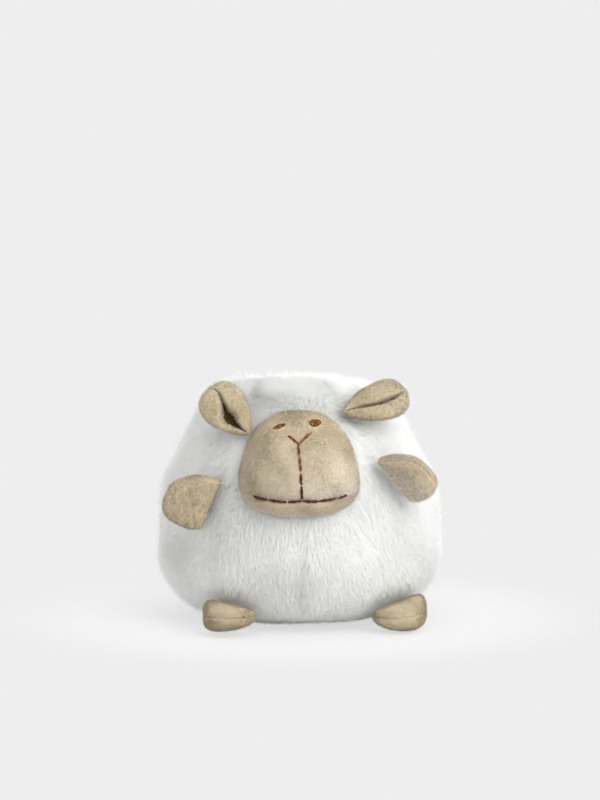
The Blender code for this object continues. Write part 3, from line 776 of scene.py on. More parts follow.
@dataclass
class Fibres:
    """Fibres that have grown: where each has its root, middle and tip."""

    roots: Array
    mids: Array
    tips: Array
    ups: Array
    sides: Array
    width: float
    build: Build
    blur: float

    TAPER = 0.9

    def part(self, mask: Array) -> "Fibres":
        """Only the fibres that a mask picks out."""
        rows = (self.roots[mask], self.mids[mask], self.tips[mask], self.ups[mask], self.sides[mask])
        return Fibres(*rows, self.width, self.build, self.blur)

    def clear_of(self, forms: Sequence[Surface]) -> "Fibres":
        """Leave out fibres that run into a form.

        Args:
            forms: The forms.

        Returns:
            The fibres that are left.
        """
        keep = np.ones(len(self.roots), bool)
        for form in forms:
            for rows in (self.roots, self.mids, self.tips):
                keep &= ~form.inside(rows)
        return self.part(keep)

    def drape(self, form: Surface, lift: float, most: float) -> "Fibres":
        """Lay the fibres that run into a form over it.

        Args:
            form: The form.
            lift: How far off its surface the tips lie.
            most: How far a fibre bends; those that would bend further are left out.

        Returns:
            The fibres that are left.
        """
        keep = np.ones(len(self.roots), bool)
        for rows, height in ((self.mids, lift / 2.0), (self.tips, lift)):
            for index in np.flatnonzero(form.inside(rows)):
                spot, out, _, far = form.tree.find_nearest(Vector(rows[index]))
                rows[index] = spot + out * height
                keep[index] &= far < most
        return self.part(keep)

    def weave(self, name: str, finish: Material) -> list[Object]:
        """Make the fibres' meshes.

        Args:
            name: Name of the piece, which gets a number where one piece would be too large.
            finish: Material of the fibres.

        Returns:
            The new objects.
        """
        count = max(1, math.ceil(len(self.roots) / PIECE_FIBRES))
        made = []
        for part in range(count):
            mask = np.arange(len(self.roots)) % count == part
            label = name if count == 1 else f"{name}_{part + 1}"
            made.append(self.part(mask).mesh(label, finish))
        return made

    def mesh(self, name: str, finish: Material) -> Object:
        """Make one mesh of all the fibres.

        Args:
            name: Name of the object and its mesh.
            finish: Material of the fibres.

        Returns:
            The new object.
        """
        form = self.build.value
        corners = list(form.corners)
        count, half = len(self.roots), self.sides * self.width / 2.0
        rows = [self.roots - half, self.roots + half]
        if self.build is Build.BENT:
            rows += [self.mids + half * self.TAPER, self.mids - half * self.TAPER]
        rows.append(self.tips)
        places = np.stack(rows, axis=1).reshape(-1, 3)
        base = np.arange(count)[:, None]
        mesh = bpy.data.meshes.new(name)
        mesh.vertices.add(len(places))
        mesh.vertices.foreach_set("co", places.astype(np.float32).ravel())
        mesh.loops.add(count * len(corners))
        loops = base * len(rows) + np.array(corners)
        mesh.loops.foreach_set("vertex_index", loops.ravel().astype(np.int32))
        mesh.polygons.add(count * len(form.starts))
        first = base * len(corners) + np.array(form.starts)
        mesh.polygons.foreach_set("loop_start", first.ravel().astype(np.int32))
        across = np.repeat((np.arange(count) + 0.5) / max(1, count), len(corners))
        along = np.tile(np.array(form.heights)[corners], count)
        side = math.ceil(math.sqrt(max(1, count)))
        squares = np.stack([np.arange(count) % side, np.arange(count) // side], axis=1)[:, None]
        charts = {
            PILE_MAP: np.stack([across, along], axis=1),
            BAKE_MAP: (squares + np.array(form.spots)[corners]) / side,
        }
        for label, spots in charts.items():
            mesh.uv_layers.new(name=label).uv.foreach_set("vector", spots.astype(np.float32).ravel())
        mesh.update()
        mesh.shade_smooth()
        face = unit(np.cross(self.sides, self.tips - self.roots))
        soft = unit(self.ups * self.blur + face * (1.0 - self.blur))
        mesh.normals_split_custom_set_from_vertices(np.repeat(soft, len(rows), axis=0).tolist())
        return dress(added(name, mesh), finish)


CELL_SHIFT = 4096
CELL_STEPS = (1 << 26, 1 << 13, 1)  # these give each tuft's cell a number of its own


@dataclass(frozen=True)
class Pile:
    """A kind of pile: how long, fine and close its fibres are and how they lie."""

    length: float
    width: float
    density: float
    lay: float
    stray: float
    frizz: float
    swirl: float
    tuft: float
    gather: float
    build: Build = Build.BLADE
    blur: float = 0.85
    twist: float = 0.15

    LEAST_RISE = 0.25
    LENGTHS = (0.7, 1.1)
    MIDDLE_AT = (0.14, 0.4)  # shares of the length straight up and along the lean
    TIP_AT = (0.1, 0.87)
    PULLS = (0.3, 1.0)
    MIDDLE_PULL = 0.3

    def grow(self, ground: Surface, nap: Lie, seed: int, keep: Lie | None = None,
             scale: Test | None = None) -> Fibres:
        """Grow fibres on a surface.

        Args:
            ground: The surface.
            nap: Gives the direction in which the pile lies, from places and outward directions.
            seed: Start of the random draws.
            keep: Picks out the places where fibres grow, from places and outward directions.
            scale: Gives each place's share of the full length.

        Returns:
            The fibres.
        """
        rng = np.random.default_rng(seed)
        roots, ups = ground.scatter(self.density, rng)
        if keep is not None:
            mask = keep(roots, ups)
            roots, ups = roots[mask], ups[mask]
        count = len(roots)
        gust = Breeze(self.swirl, seed).at(roots)
        own = rng.normal(size=(count, 3))
        lean = unit(ups + nap(roots, ups) * self.lay + gust * self.stray + own * self.frizz)
        low = self.LEAST_RISE - (lean * ups).sum(axis=1, keepdims=True)
        lean += ups * np.maximum(0.0, low)
        share = 1.0 if scale is None else scale(roots)[:, None]
        reach = self.length * share * rng.uniform(*self.LENGTHS, (count, 1))
        shares = (self.MIDDLE_AT, self.TIP_AT)
        mids, tips = (roots + (ups * rise + lean * along) * reach for rise, along in shares)
        pull = self.pull(roots + gust * self.tuft * 0.5, tips) * rng.uniform(*self.PULLS, (count, 1))
        tips += pull
        mids += pull * self.MIDDLE_PULL
        for rows in (mids, tips):
            rows[:, 2] = np.maximum(rows[:, 2], FLOOR_CLEAR)
        sides = unit(np.cross(tips - roots, ups + self.twist * rng.normal(size=(count, 3))))
        flip = (np.cross(sides, tips - roots) * ups).sum(axis=1, keepdims=True) < 0.0
        sides = np.where(flip, -sides, sides)
        return Fibres(roots - ups * self.width, mids, tips, ups, sides, self.width, self.build, self.blur)

    def pull(self, places: Array, tips: Array) -> Array:
        """How far tips are pulled to the middle of their tuft.

        Args:
            places: Place of each fibre, which tells its tuft.
            tips: The tips.

        Returns:
            The pull on each tip.
        """
        cells = np.floor(places / self.tuft).astype(np.int64) + CELL_SHIFT
        _, cell = np.unique(cells @ np.array(CELL_STEPS), return_inverse=True)
        held = np.bincount(cell)[:, None]
        middle = np.stack([np.bincount(cell, tips[:, axis]) for axis in range(3)], axis=1) / held
        return (middle[cell] - tips) * self.gather


SHORT_PILE = Pile(1.6 * MM, 0.24 * MM, 9.0e6, 1.4, 0.7, 0.45, 9 * MM, 1.6 * MM, 0.2, blur=0.9)
STROKE = 0.45


def falling(places: Array, ups: Array) -> Array:
    """Direction down along a surface."""
    return unit(ups * ups[:, 2:] - np.array(UP))


def combed(places: Array, ups: Array) -> Array:
    """Direction down along a surface and a little to the back, as a hand strokes the fur."""
    back = np.array(BACK) - ups * ups[:, 1:2]
    return unit(falling(places, ups) + STROKE * back)


def towards(way: Vector) -> Lie:
    """Nap that lies one way all over a surface.

    Args:
        way: Direction of the nap.

    Returns:
        Function of places and outward directions.
    """
    goal = np.array(way)

    def lie(places: Array, ups: Array) -> Array:
        """Direction along the surface that is closest to the nap's way."""
        return unit(goal - ups * (ups @ goal)[:, None])

    return lie


# The body


@dataclass
class Body:
    """The stuffed ball, its fur and its base."""

    half_width: float = 88.5 * MM
    half_depth: float = 86.0 * MM
    height: float = 153.0 * MM
    waist: float = 51.0 * MM
    sag: float = 53.2 * MM
    squareness: float = 2.6
    sag_squareness: float = 3.0
    inset: float = 5.6 * MM
    swell: float = 1.6 * MM
    floor: float = 3.0 * MM
    top_start: float = 118.0 * MM
    top_run: float = 28.0 * MM
    bump: float = 4.0 * MM
    bump_place: tuple[float, float] = (-48.0 * MM, -10.0 * MM)
    bump_size: tuple[float, float] = (17.0 * MM, 50.0 * MM)
    dip: float = 1.0 * MM
    dip_width: float = 38.0 * MM
    slope_left: float = 0.055
    slope_right: float = 0.07
    slope_height: float = 115.0 * MM
    slope_run: float = 25.0 * MM
    crown_half: float = 27.0 * MM
    crown_front: float = 127.5 * MM
    crown_back: float = 116.0 * MM
    crown_margin: float = 8.0 * MM
    brow: float = 133.0 * MM
    brow_margin: float = 10.0 * MM
    base_seam: float = 9.0 * MM
    side_seam: float = math.radians(39.0)
    seam_held: float = 3.0 * MM
    valley: float = 3.2 * MM
    valley_width: float = 5.0 * MM
    valley_fade: float = 75.0 * MM
    valley_start: float = 10.0 * MM
    valley_run: float = 16.0 * MM
    side_valley: float = 0.22
    press: float = 8.0 * MM
    pressed_length: float = 0.35
    brow_reach: float = 13.0 * MM
    shoulder_place: float = 45.0 * MM
    shoulder_width: float = 16.0 * MM
    shoulder_start: float = 122.0 * MM
    shoulder_run: float = 12.0 * MM
    low_run: float = 30.0 * MM
    drape_lift: float = 1.2 * MM
    drape_most: float = 2.5 * MM
    fur: Pile = Pile(10.0 * MM, 0.18 * MM, 3.6e6, lay=1.4, stray=0.38, frizz=0.2, swirl=26 * MM, tuft=5 * MM,
                     gather=0.0, build=Build.BENT, blur=0.98, twist=0.05)
    under_fur: Pile = Pile(7.0 * MM, 0.45 * MM, 3.8e6, lay=2.2, stray=0.3, frizz=0.12, swirl=30 * MM,
                           tuft=5 * MM, gather=0.0, blur=0.97, twist=0.05)
    stray_fur: Pile = Pile(11.0 * MM, 0.18 * MM, 1.6e5, lay=0.8, stray=0.5, frizz=0.45, swirl=14 * MM,
                           tuft=4 * MM, gather=0.5, build=Build.BENT, blur=0.95, twist=0.05)
    base_pile: Pile = Pile(4.0 * MM, 0.4 * MM, 2.4e6, lay=0.9, stray=0.3, frizz=0.2, swirl=12 * MM,
                           tuft=3 * MM, gather=0.2)
    base_edge: float = 6.0 * MM
    ground: Surface = field(init=False)

    def profile(self, height: float) -> tuple[float, float, float]:
        """Height above the waist as a share of the reach there, the reach, and the squareness."""
        rise = height - self.waist
        if rise > 0.0:
            return rise / (self.height - self.waist), self.height - self.waist, self.squareness
        return rise / self.sag, self.sag, self.sag_squareness

    def share(self, height: float) -> float:
        """Share of the waist's size that the body has at a height."""
        part, _, square = self.profile(height)
        return max(0.0, 1.0 - abs(part) ** square) ** (1.0 / square)

    def point(self, azimuth: float, height: float) -> Vector:
        """Point of the outside at an azimuth, from the front towards +X, and a height."""
        share = self.share(height)
        across = self.half_width * share * math.sin(azimuth)
        return Vector((across, -self.half_depth * share * math.cos(azimuth), height))

    def front(self, x: float, z: float) -> float:
        """Y of the outside's front at a place in the front view."""
        inside = self.share(z) ** 2 - (x / self.half_width) ** 2
        return -self.half_depth * math.sqrt(max(0.0, inside))

    def outward(self, point: Vector) -> Vector:
        """Outward direction at a point of the outside."""
        part, reach, square = self.profile(point.z)
        ring = math.hypot(point.x / self.half_width, point.y / self.half_depth)
        pull = ring ** (square - 2.0)
        out = Vector((pull * point.x / self.half_width**2, pull * point.y / self.half_depth**2, 0.0))
        out.z = power(part, square - 1.0) / reach
        return out.normalized()

    def root(self, azimuth: float, height: float, tilt: float, lift: float, standoff: float) -> Matrix:
        """Frame of a sewn root: X along the limb, Y along the seam.

        Args:
            azimuth: Where on the body the root is, from the front towards +X.
            height: Height of the root.
            tilt: Turn of the seam from level.
            lift: How far the limb rises from the body's surface.
            standoff: Distance of the origin from the body's surface.

        Returns:
            The frame, whose origin is just off the body.
        """
        place = self.point(azimuth, height)
        out = self.outward(place)
        level = UP.cross(out).normalized()
        seam = math.cos(tilt) * level + math.sin(tilt) * out.cross(level)
        along = math.cos(lift) * out.cross(seam) + math.sin(lift) * out
        found = Matrix((along, seam, along.cross(seam))).transposed().to_4x4()
        found.translation = place + standoff * out
        return found

    def from_unit(self, spot: Vector) -> Vector:
        """Place on the inset ball for a point of the unit ball."""
        _, reach, square = self.profile(self.waist + spot.z)
        azimuth = math.atan2(spot.x, -spot.y)
        place = self.point(azimuth, self.waist + reach * power(spot.z, 2.0 / square))
        across = 1.0 - self.inset / self.half_width
        along = 1.0 - self.inset / self.half_depth
        high = self.waist + (place.z - self.waist) * (1.0 - self.inset / reach)
        top = max(0.0, (high - self.top_start) / self.top_run)
        aside, before = ((place[axis] - self.bump_place[axis]) / self.bump_size[axis] for axis in (0, 1))
        high += top * self.bump * math.exp(-(aside**2) - before**2)
        high -= top * self.dip * math.exp(-((place.x / self.dip_width) ** 2))
        steep = self.slope_left if place.x < 0.0 else self.slope_right
        slope = 1.0 - steep * math.exp(-(((high - self.slope_height) / self.slope_run) ** 2))
        return Vector((place.x * across * slope, place.y * along, max(high, self.floor)))

    def in_crown(self, places: Array, margin: float) -> Array:
        """Whether each place is on the crown, or lower than it by less than a margin."""
        x, y, z = places.T
        edge = np.where(y < 0.0, self.crown_front, self.crown_back)
        return (np.abs(x) < self.crown_half) & (z > edge - margin)

    def seams(self, places: Array) -> tuple[Array, Array]:
        """Distance of each place from the centre seam, and from the nearest other seam."""
        x, y, z = places.T
        cosine, sine = math.cos(self.side_seam), math.sin(self.side_seam)
        slant = [np.abs(x * side * cosine + y * sine) for side in (-1.0, 1.0)]
        sides = np.where(z < self.brow - self.brow_margin, np.minimum(*slant), FAR)
        edge = np.where(z > self.crown_back, np.abs(np.abs(x) - self.crown_half), FAR)
        centre = np.where(self.in_crown(places, self.crown_margin), FAR, np.abs(x))
        return centre, np.minimum.reduce([sides, edge, np.abs(z - self.base_seam)])

    def valleys(self, places: Array) -> Array:
        """How deep the seams pull the cover in at each place, as a share of the deepest valley.

        Args:
            places: The places.

        Returns:
            The shares. The centre seam is deepest low on the front and ends above the base.
        """
        centre, others = self.seams(places)
        height = places[:, 2]
        fade = np.clip(1.3 - height / self.valley_fade, 0.3, 1.0)
        low = fade * np.clip((height - self.valley_start) / self.valley_run, 0.0, 1.0)
        deep = low * bell(centre, self.valley_width)
        return np.maximum(deep, self.side_valley * bell(others, self.valley_width))

    def build(self) -> Object:
        """Build the stuffed ball inside the fur and return it."""
        skin = shape(ball("body_stuffed", 64, 40), self.from_unit)
        even_out(skin, 5.0 * MM)
        puff(skin, lambda at: (np.minimum(*self.seams(at)) < self.seam_held) | (at[:, 2] < 2.0 * self.floor),
             self.swell)
        refine(skin)
        press_in(skin, self.valley * self.valleys(places_of(skin)), self.floor)
        self.ground = Surface.of(skin)
        return skin

    def panels(self, places: Array) -> dict[str, Array]:
        """Masks of the places that belong to each fur panel, by the panel's name."""
        x, y, z = places.T
        crown = self.in_crown(places, self.inset)
        lean = np.abs(x) * math.cos(self.side_seam) + y * math.sin(self.side_seam)
        back = ~crown & ((lean > 0.0) | (z > self.brow - self.inset))
        front = ~crown & ~back
        return {
            "front_left": front & (x < 0.0),
            "front_right": front & (x >= 0.0),
            "back_left": back & (x < 0.0),
            "back_right": back & (x >= 0.0),
            "crown": crown,
        }

    def comb(self, wardrobe: Wardrobe, face: Surface, limbs: Sequence[Surface]) -> None:
        """Grow the fur round the other forms, panel by panel, and the base's pile.

        Args:
            wardrobe: The finishes.
            face: Surface of the face, over whose edge the fur lies.
            limbs: Surfaces of the ears, arms, feet and tail, which the fur keeps out of.
        """

        def longer(places: Array) -> Array:
            """Share of the full length: short in seams, low down and by limbs, and long on the shoulders."""
            x, z = np.abs(places[:, 0]), places[:, 2]
            low = np.clip(0.45 + z / self.low_run, 0.5, 1.0)
            pressed = np.ones(len(places))
            for form in limbs:
                clear = form.away(places, self.press) / self.press
                pressed = np.minimum(pressed, self.pressed_length + (1.0 - self.pressed_length) * clear)
            high = np.clip((z - self.shoulder_start) / self.shoulder_run, 0.0, 1.0)
            shoulder = bell(x - self.shoulder_place, self.shoulder_width) * high
            brow = (1.0 - face.away(places, self.brow_reach) / self.brow_reach) * (z > self.top_start)
            return (1.0 - 0.25 * self.valleys(places)) * low * pressed * (1.0 + 0.35 * shoulder - 0.1 * brow)

        kinds = ((self.fur, "fur", 11), (self.under_fur, "under_fur", 13), (self.stray_fur, "stray_fur", 15))
        for kind, ending, seed in kinds:
            grown = kind.grow(self.ground, combed, seed, lambda at, _: at[:, 2] > self.base_edge, longer)
            grown = grown.part(~face.inside(grown.roots)).clear_of(limbs)
            grown = grown.drape(face, self.drape_lift, self.drape_most)
            for panel, mask in self.panels(grown.roots).items():
                for piece in grown.part(mask).weave(f"{panel}_{ending}", wardrobe.fur):
                    settle(piece, "body", "fur", f"{panel}_fur_panel")
        below = self.base_pile.grow(self.ground, towards(BACK), 12, lambda at, _: at[:, 2] <= self.base_edge)
        for piece in below.weave("base_pile", wardrobe.fur):
            settle(piece, "body", "base", "base_panel")

    def dress(self, skin: Object, wardrobe: Wardrobe) -> None:
        """Finish the stuffed ball."""
        settle(dress(skin, wardrobe.fur_cloth), "body", "filling", "body_filling", "pellet_bag")


# The face


@dataclass
class Stitch:
    """One visible stitch between two places in the front view, in millimetres from the face's middle."""

    start: tuple[float, float]
    end: tuple[float, float]
    thick: float = 0.62

    def points(self, ground: Surface, middle: float, count: int = 9) -> list[Vector]:
        """Centre line of the stitch, which dives into the cloth at both ends.

        Args:
            ground: Surface of the face.
            middle: Height of the face's middle.
            count: Points along the stitch.

        Returns:
            The points.
        """
        found = []
        for step in range(count):
            part = step / (count - 1)
            x = (self.start[0] + (self.end[0] - self.start[0]) * part) * MM
            z = middle + (self.start[1] + (self.end[1] - self.start[1]) * part) * MM
            spot, out = ground.front(x, z)
            arch = math.sin(math.pi * part) ** 0.35
            found.append(spot + out * self.thick * MM * (1.9 * arch - 0.9))
        return found


def thread(name: str, runs: Sequence[Run], finish: Material, plies: int = 2) -> Object:
    """Twisted threads along centre lines, as one mesh.

    Args:
        name: Name of the piece.
        runs: Centre lines with their thickness in metres.
        finish: Material of the thread.
        plies: Strands twisted together in a thread, 1 for a plain one.

    Returns:
        The new object.
    """
    curve = bpy.data.curves.new(name, "CURVE")
    curve.dimensions = "3D"
    curve.bevel_depth = 1.0
    curve.bevel_resolution = 1
    curve.use_fill_caps = True
    for line, thick in runs:
        fine = smooth_line(line, 3)
        for ply in range(plies):
            spline = curve.splines.new("POLY")
            spline.points.add(len(fine) - 1)
            travelled = 0.0
            for index, spot in enumerate(fine):
                ahead = fine[min(index + 1, len(fine) - 1)] - fine[max(index - 1, 0)]
                travelled += (spot - fine[max(index - 1, 0)]).length
                side = ahead.cross(Vector((0.0, -1.0, 0.2))).normalized()
                over = side.cross(ahead).normalized()
                turn = travelled / (4.5 * thick) * math.pi + ply * 2.0 * math.pi / plies
                offset = 0.34 * thick if plies > 1 else 0.0
                place = spot + offset * (math.cos(turn) * side + math.sin(turn) * over)
                end = min(index, len(fine) - 1 - index)
                radius = thick * (0.66 if plies > 1 else 1.0) * min(1.0, 0.45 + 0.25 * end)
                spline.points[index].co = (*place, 1.0)
                spline.points[index].radius = radius
    only(added(name, curve))
    bpy.ops.object.convert(target="MESH")
    made = bpy.context.object
    made.data.name = name
    made.data.shade_smooth()
    return dress(made, finish)


def smooth_line(line: list[Vector], steps: int) -> list[Vector]:
    """Line with more points, on a smooth curve through those given.

    Args:
        line: The points given, three or more.
        steps: Points for each one given.

    Returns:
        The finer line.
    """
    found = []
    for index in range(len(line) - 1):
        a = line[max(index - 1, 0)]
        b, c = line[index], line[index + 1]
        d = line[min(index + 2, len(line) - 1)]
        for step in range(steps):
            t = step / steps
            curve = 2.0 * b + (c - a) * t + (2.0 * a - 5.0 * b + 4.0 * c - d) * t**2
            found.append((curve + (3.0 * b - a - 3.0 * c + d) * t**3) / 2.0)
    return [*found, line[-1]]


@dataclass
class Face:
    """The stuffed face, its chin and its embroidery."""

    body: Body
    half_width: float = 38.2 * MM
    half_height: float = 33.6 * MM
    middle: float = 106.2 * MM
    bulge: float = 22.5 * MM
    squareness: float = 2.6
    taper: float = 0.2
    droop: float = 0.25
    mouth: float = 87.4 * MM
    mouth_tilt: float = math.radians(7.0)
    inset: float = 2.8 * MM
    swell: float = 1.6 * MM
    pile: Pile = Pile(1.7 * MM, 0.26 * MM, 9.0e6, lay=1.5, stray=0.7, frizz=0.4, swirl=12 * MM, tuft=1.8 * MM,
                      gather=0.15, blur=0.9)
    ground: Surface = field(init=False)

    EYE_DENTS = ((-11.7, 22.6), (9.6, 24.4))
    EYE_CLEAR = ((-11.7, 22.7, 3.5, 1.2), (9.5, 24.4, 3.3, 1.9))
    NOSE = (Stitch((-6.8, 18.1), (0.1, 13.3), 0.78), Stitch((-0.1, 13.2), (7.6, 19.8), 0.78))
    MUZZLE_TOP = (Stitch((-0.5, 13.5), (0.2, 6.4), 0.8), Stitch((0.3, 6.7), (1.1, -2.0), 0.88))
    MUZZLE_LOW = (Stitch((1.2, -3.0), (1.5, -9.7), 0.86), Stitch((1.6, -10.1), (2.0, -18.6), 0.88))
    MOUTH = (
        Stitch((-27.6, -17.8), (-18.3, -19.3), 0.95),
        Stitch((-18.4, -19.2), (-7.2, -20.3), 0.95),
        Stitch((-6.8, -20.2), (1.9, -19.3), 0.92),
        Stitch((2.1, -19.3), (11.9, -19.8), 0.95),
        Stitch((11.7, -19.7), (22.7, -18.4), 0.95),
        Stitch((22.6, -18.4), (28.8, -17.0), 0.85),
    )

    def from_unit(self, spot: Vector) -> Vector:
        """Place on the inset face for a point of the unit ball whose pole faces the front."""
        flat = math.hypot(spot.x, spot.y)
        curve = 2.0 / self.squareness
        right, up = (spot.x / flat, spot.y / flat) if flat > 0.0 else (0.0, 0.0)
        high = flat * power(up, curve)
        wide = flat * power(right, curve) * (1.0 - self.taper * high)
        x = (self.half_width - self.inset) * wide
        z = self.middle + (self.half_height - self.inset) * high
        bulge = (self.bulge - self.inset) * (1.0 - self.droop * high)
        behind = 14.0 * MM
        return Vector((x, self.body.front(x, z) - (bulge if spot.z > 0.0 else behind) * spot.z, z))

    def creases(self, x: Array, z: Array) -> Array:
        """How deep the thread pulls the face in, at places in the front view."""
        rise = z - self.mouth
        mouth = bell(rise, 2.6 * MM) * 1.5 * MM
        line = bell(x - 0.9 * MM, 3.2 * MM) * 1.3 * MM
        line *= np.clip(1.0 - np.abs(z - self.middle + 3 * MM) / (18 * MM), 0.0, 1.0) ** 0.5
        eyes = 0.0
        for across, high in self.EYE_DENTS:
            far = ((x - across * MM) / (6 * MM)) ** 2 + ((z - self.middle - high * MM) / (4 * MM)) ** 2
            eyes = eyes + np.exp(-far) * 1.0 * MM
        return mouth + line + eyes

    def build(self) -> list[Object]:
        """Build the face and the chin below the mouth, both closed, and return them."""
        whole = shape(ball("face_whole", 56, 32), self.from_unit)
        even_out(whole, 2.5 * MM)

        def held(places: Array) -> Array:
            """Points near the mouth and behind the body's front."""
            back = np.array([self.body.front(x, z) for x, _, z in places])
            return (np.abs(places[:, 2] - self.mouth) < 1.5 * MM) | (places[:, 1] > back)

        puff(whole, held, self.swell)
        refine(whole)
        places = places_of(whole)
        front = places[:, 1] < -70.0 * MM
        places[:, 1] += np.where(front, self.creases(places[:, 0], places[:, 2]), 0.0)
        put_places(whole, places)
        self.ground = Surface.of(whole)
        lip = Vector((0.0, self.body.front(0.0, self.mouth) - self.bulge, self.mouth))
        square = Vector((0.0, -math.sin(self.mouth_tilt), math.cos(self.mouth_tilt)))
        return halve(whole, lip, square, ("face_plush", "chin_plush"))

    def dress(self, halves: Sequence[Object], wardrobe: Wardrobe) -> None:
        """Finish the two halves."""
        names = (("face_panel", "face_filling"), ("chin_panel",))
        for half, nodes, slot in zip(halves, names, ("plush", "chin")):
            settle(dress(half, wardrobe.plush_cloth), "body", slot, *nodes)

    def stitches(self) -> list[tuple[float, float, float, float]]:
        """All stitches as start and end in the front view, in metres."""
        every = (*self.NOSE, *self.MUZZLE_TOP, *self.MUZZLE_LOW, *self.MOUTH)
        base = self.middle / MM
        ends = [(*stitch.start, *stitch.end) for stitch in every]
        return [(ax * MM, (az + base) * MM, bx * MM, (bz + base) * MM) for ax, az, bx, bz in ends]

    def near_stitch(self, places: Array) -> Array:
        """Distance of places from the nearest stitch or eye, in the front view."""
        x, z = places[:, 0], places[:, 2]
        best = np.full(len(places), 1.0)
        for ax, az, bx, bz in self.stitches():
            along = np.array([bx - ax, bz - az])
            size = along @ along
            part = np.clip(((x - ax) * along[0] + (z - az) * along[1]) / size, 0.0, 1.0)
            best = np.minimum(best, np.hypot(x - ax - part * along[0], z - az - part * along[1]))
        for across, high, wide, tall in self.EYE_CLEAR:
            far = np.hypot((x - across * MM) / wide, (z - self.middle - high * MM) / tall) - MM
            best = np.minimum(best, np.maximum(far, 0.0) * min(wide, tall))
        return best

    def comb(self, wardrobe: Wardrobe) -> None:
        """Grow the short pile of the face and of the chin."""

        def outside(places: Array, _: Array) -> Array:
            """Places that show, clear of the thread."""
            back = np.array([self.body.front(x, z) for x, _, z in places]) + 9 * MM
            return (places[:, 1] < back) & (self.near_stitch(places) > 0.0)

        def shorter(places: Array) -> Array:
            """Pile is pressed down next to the thread."""
            return np.clip(0.7 + self.near_stitch(places) / (2.0 * MM), 0.7, 1.0)

        grown = self.pile.grow(self.ground, falling, 21, outside, shorter)
        lean = (grown.roots[:, 1] - self.body.front(0.0, self.mouth) + self.bulge) * math.tan(self.mouth_tilt)
        above = grown.roots[:, 2] > self.mouth + lean
        for name, mask, slot, finish in (
            ("face_pile", above, "plush", wardrobe.face),
            ("chin_pile", ~above, "chin", wardrobe.chin),
        ):
            for piece in grown.part(mask).weave(name, finish):
                settle(piece, "body", slot)

    def eye(self, across: float, high: float, wide: float, tall: float, slant: float) -> list[Run]:
        """Satin stitches of an eye, side by side over a lens.

        Args:
            across: Place of the eye from the face's middle, in millimetres.
            high: Height above the face's middle, in millimetres.
            wide: Half width of the lens, in millimetres.
            tall: Half height of the lens, in millimetres.
            slant: Turn of the lens.

        Returns:
            Centre lines with their thickness.
        """
        count = 15
        runs = []
        for index in range(count):
            part = 2.0 * (index + 0.5) / count - 1.0
            reach = tall * (1.0 - abs(part) ** 2.4) ** 0.7
            ends = []
            for side in (-1.0, 1.0):
                x, z = wide * part + 0.25 * side * reach, side * reach
                ends.append((across + x * math.cos(slant) - z * math.sin(slant),
                             high + x * math.sin(slant) + z * math.cos(slant)))
            run = Stitch(ends[0], ends[1], 0.32)
            line = run.points(self.ground, self.middle, 7)
            runs.append(([spot + Vector((0.0, -0.35 * MM, 0.0)) for spot in line], run.thick * MM))
        return runs

    def embroider(self, wardrobe: Wardrobe) -> None:
        """Sew the eyes, the nose, the line down the muzzle and the mouth."""
        threads = (
            ("nose_thread", "nose_stitch", self.NOSE, wardrobe.nose_thread),
            ("muzzle_thread_top", "muzzle_stitch", self.MUZZLE_TOP, wardrobe.nose_thread),
            ("muzzle_thread_low", "muzzle_stitch", self.MUZZLE_LOW, wardrobe.thread),
            ("mouth_thread", "mouth_stitch", self.MOUTH, wardrobe.thread),
        )
        for name, node, stitches, finish in threads:
            runs = [(stitch.points(self.ground, self.middle), stitch.thick * MM) for stitch in stitches]
            settle(thread(name, runs, finish), "body", "thread", node)
        left = self.eye(-11.9, 22.7, 3.7, 1.05, math.radians(18.0))
        right = self.eye(9.8, 24.6, 3.6, 2.1, math.radians(-4.0))
        for name, runs in (("eye_left", left), ("eye_right", right)):
            settle(thread(f"{name}_thread", runs, wardrobe.eye_thread, 1), "body", "eyes", name)


# Ears, arms, feet and tail


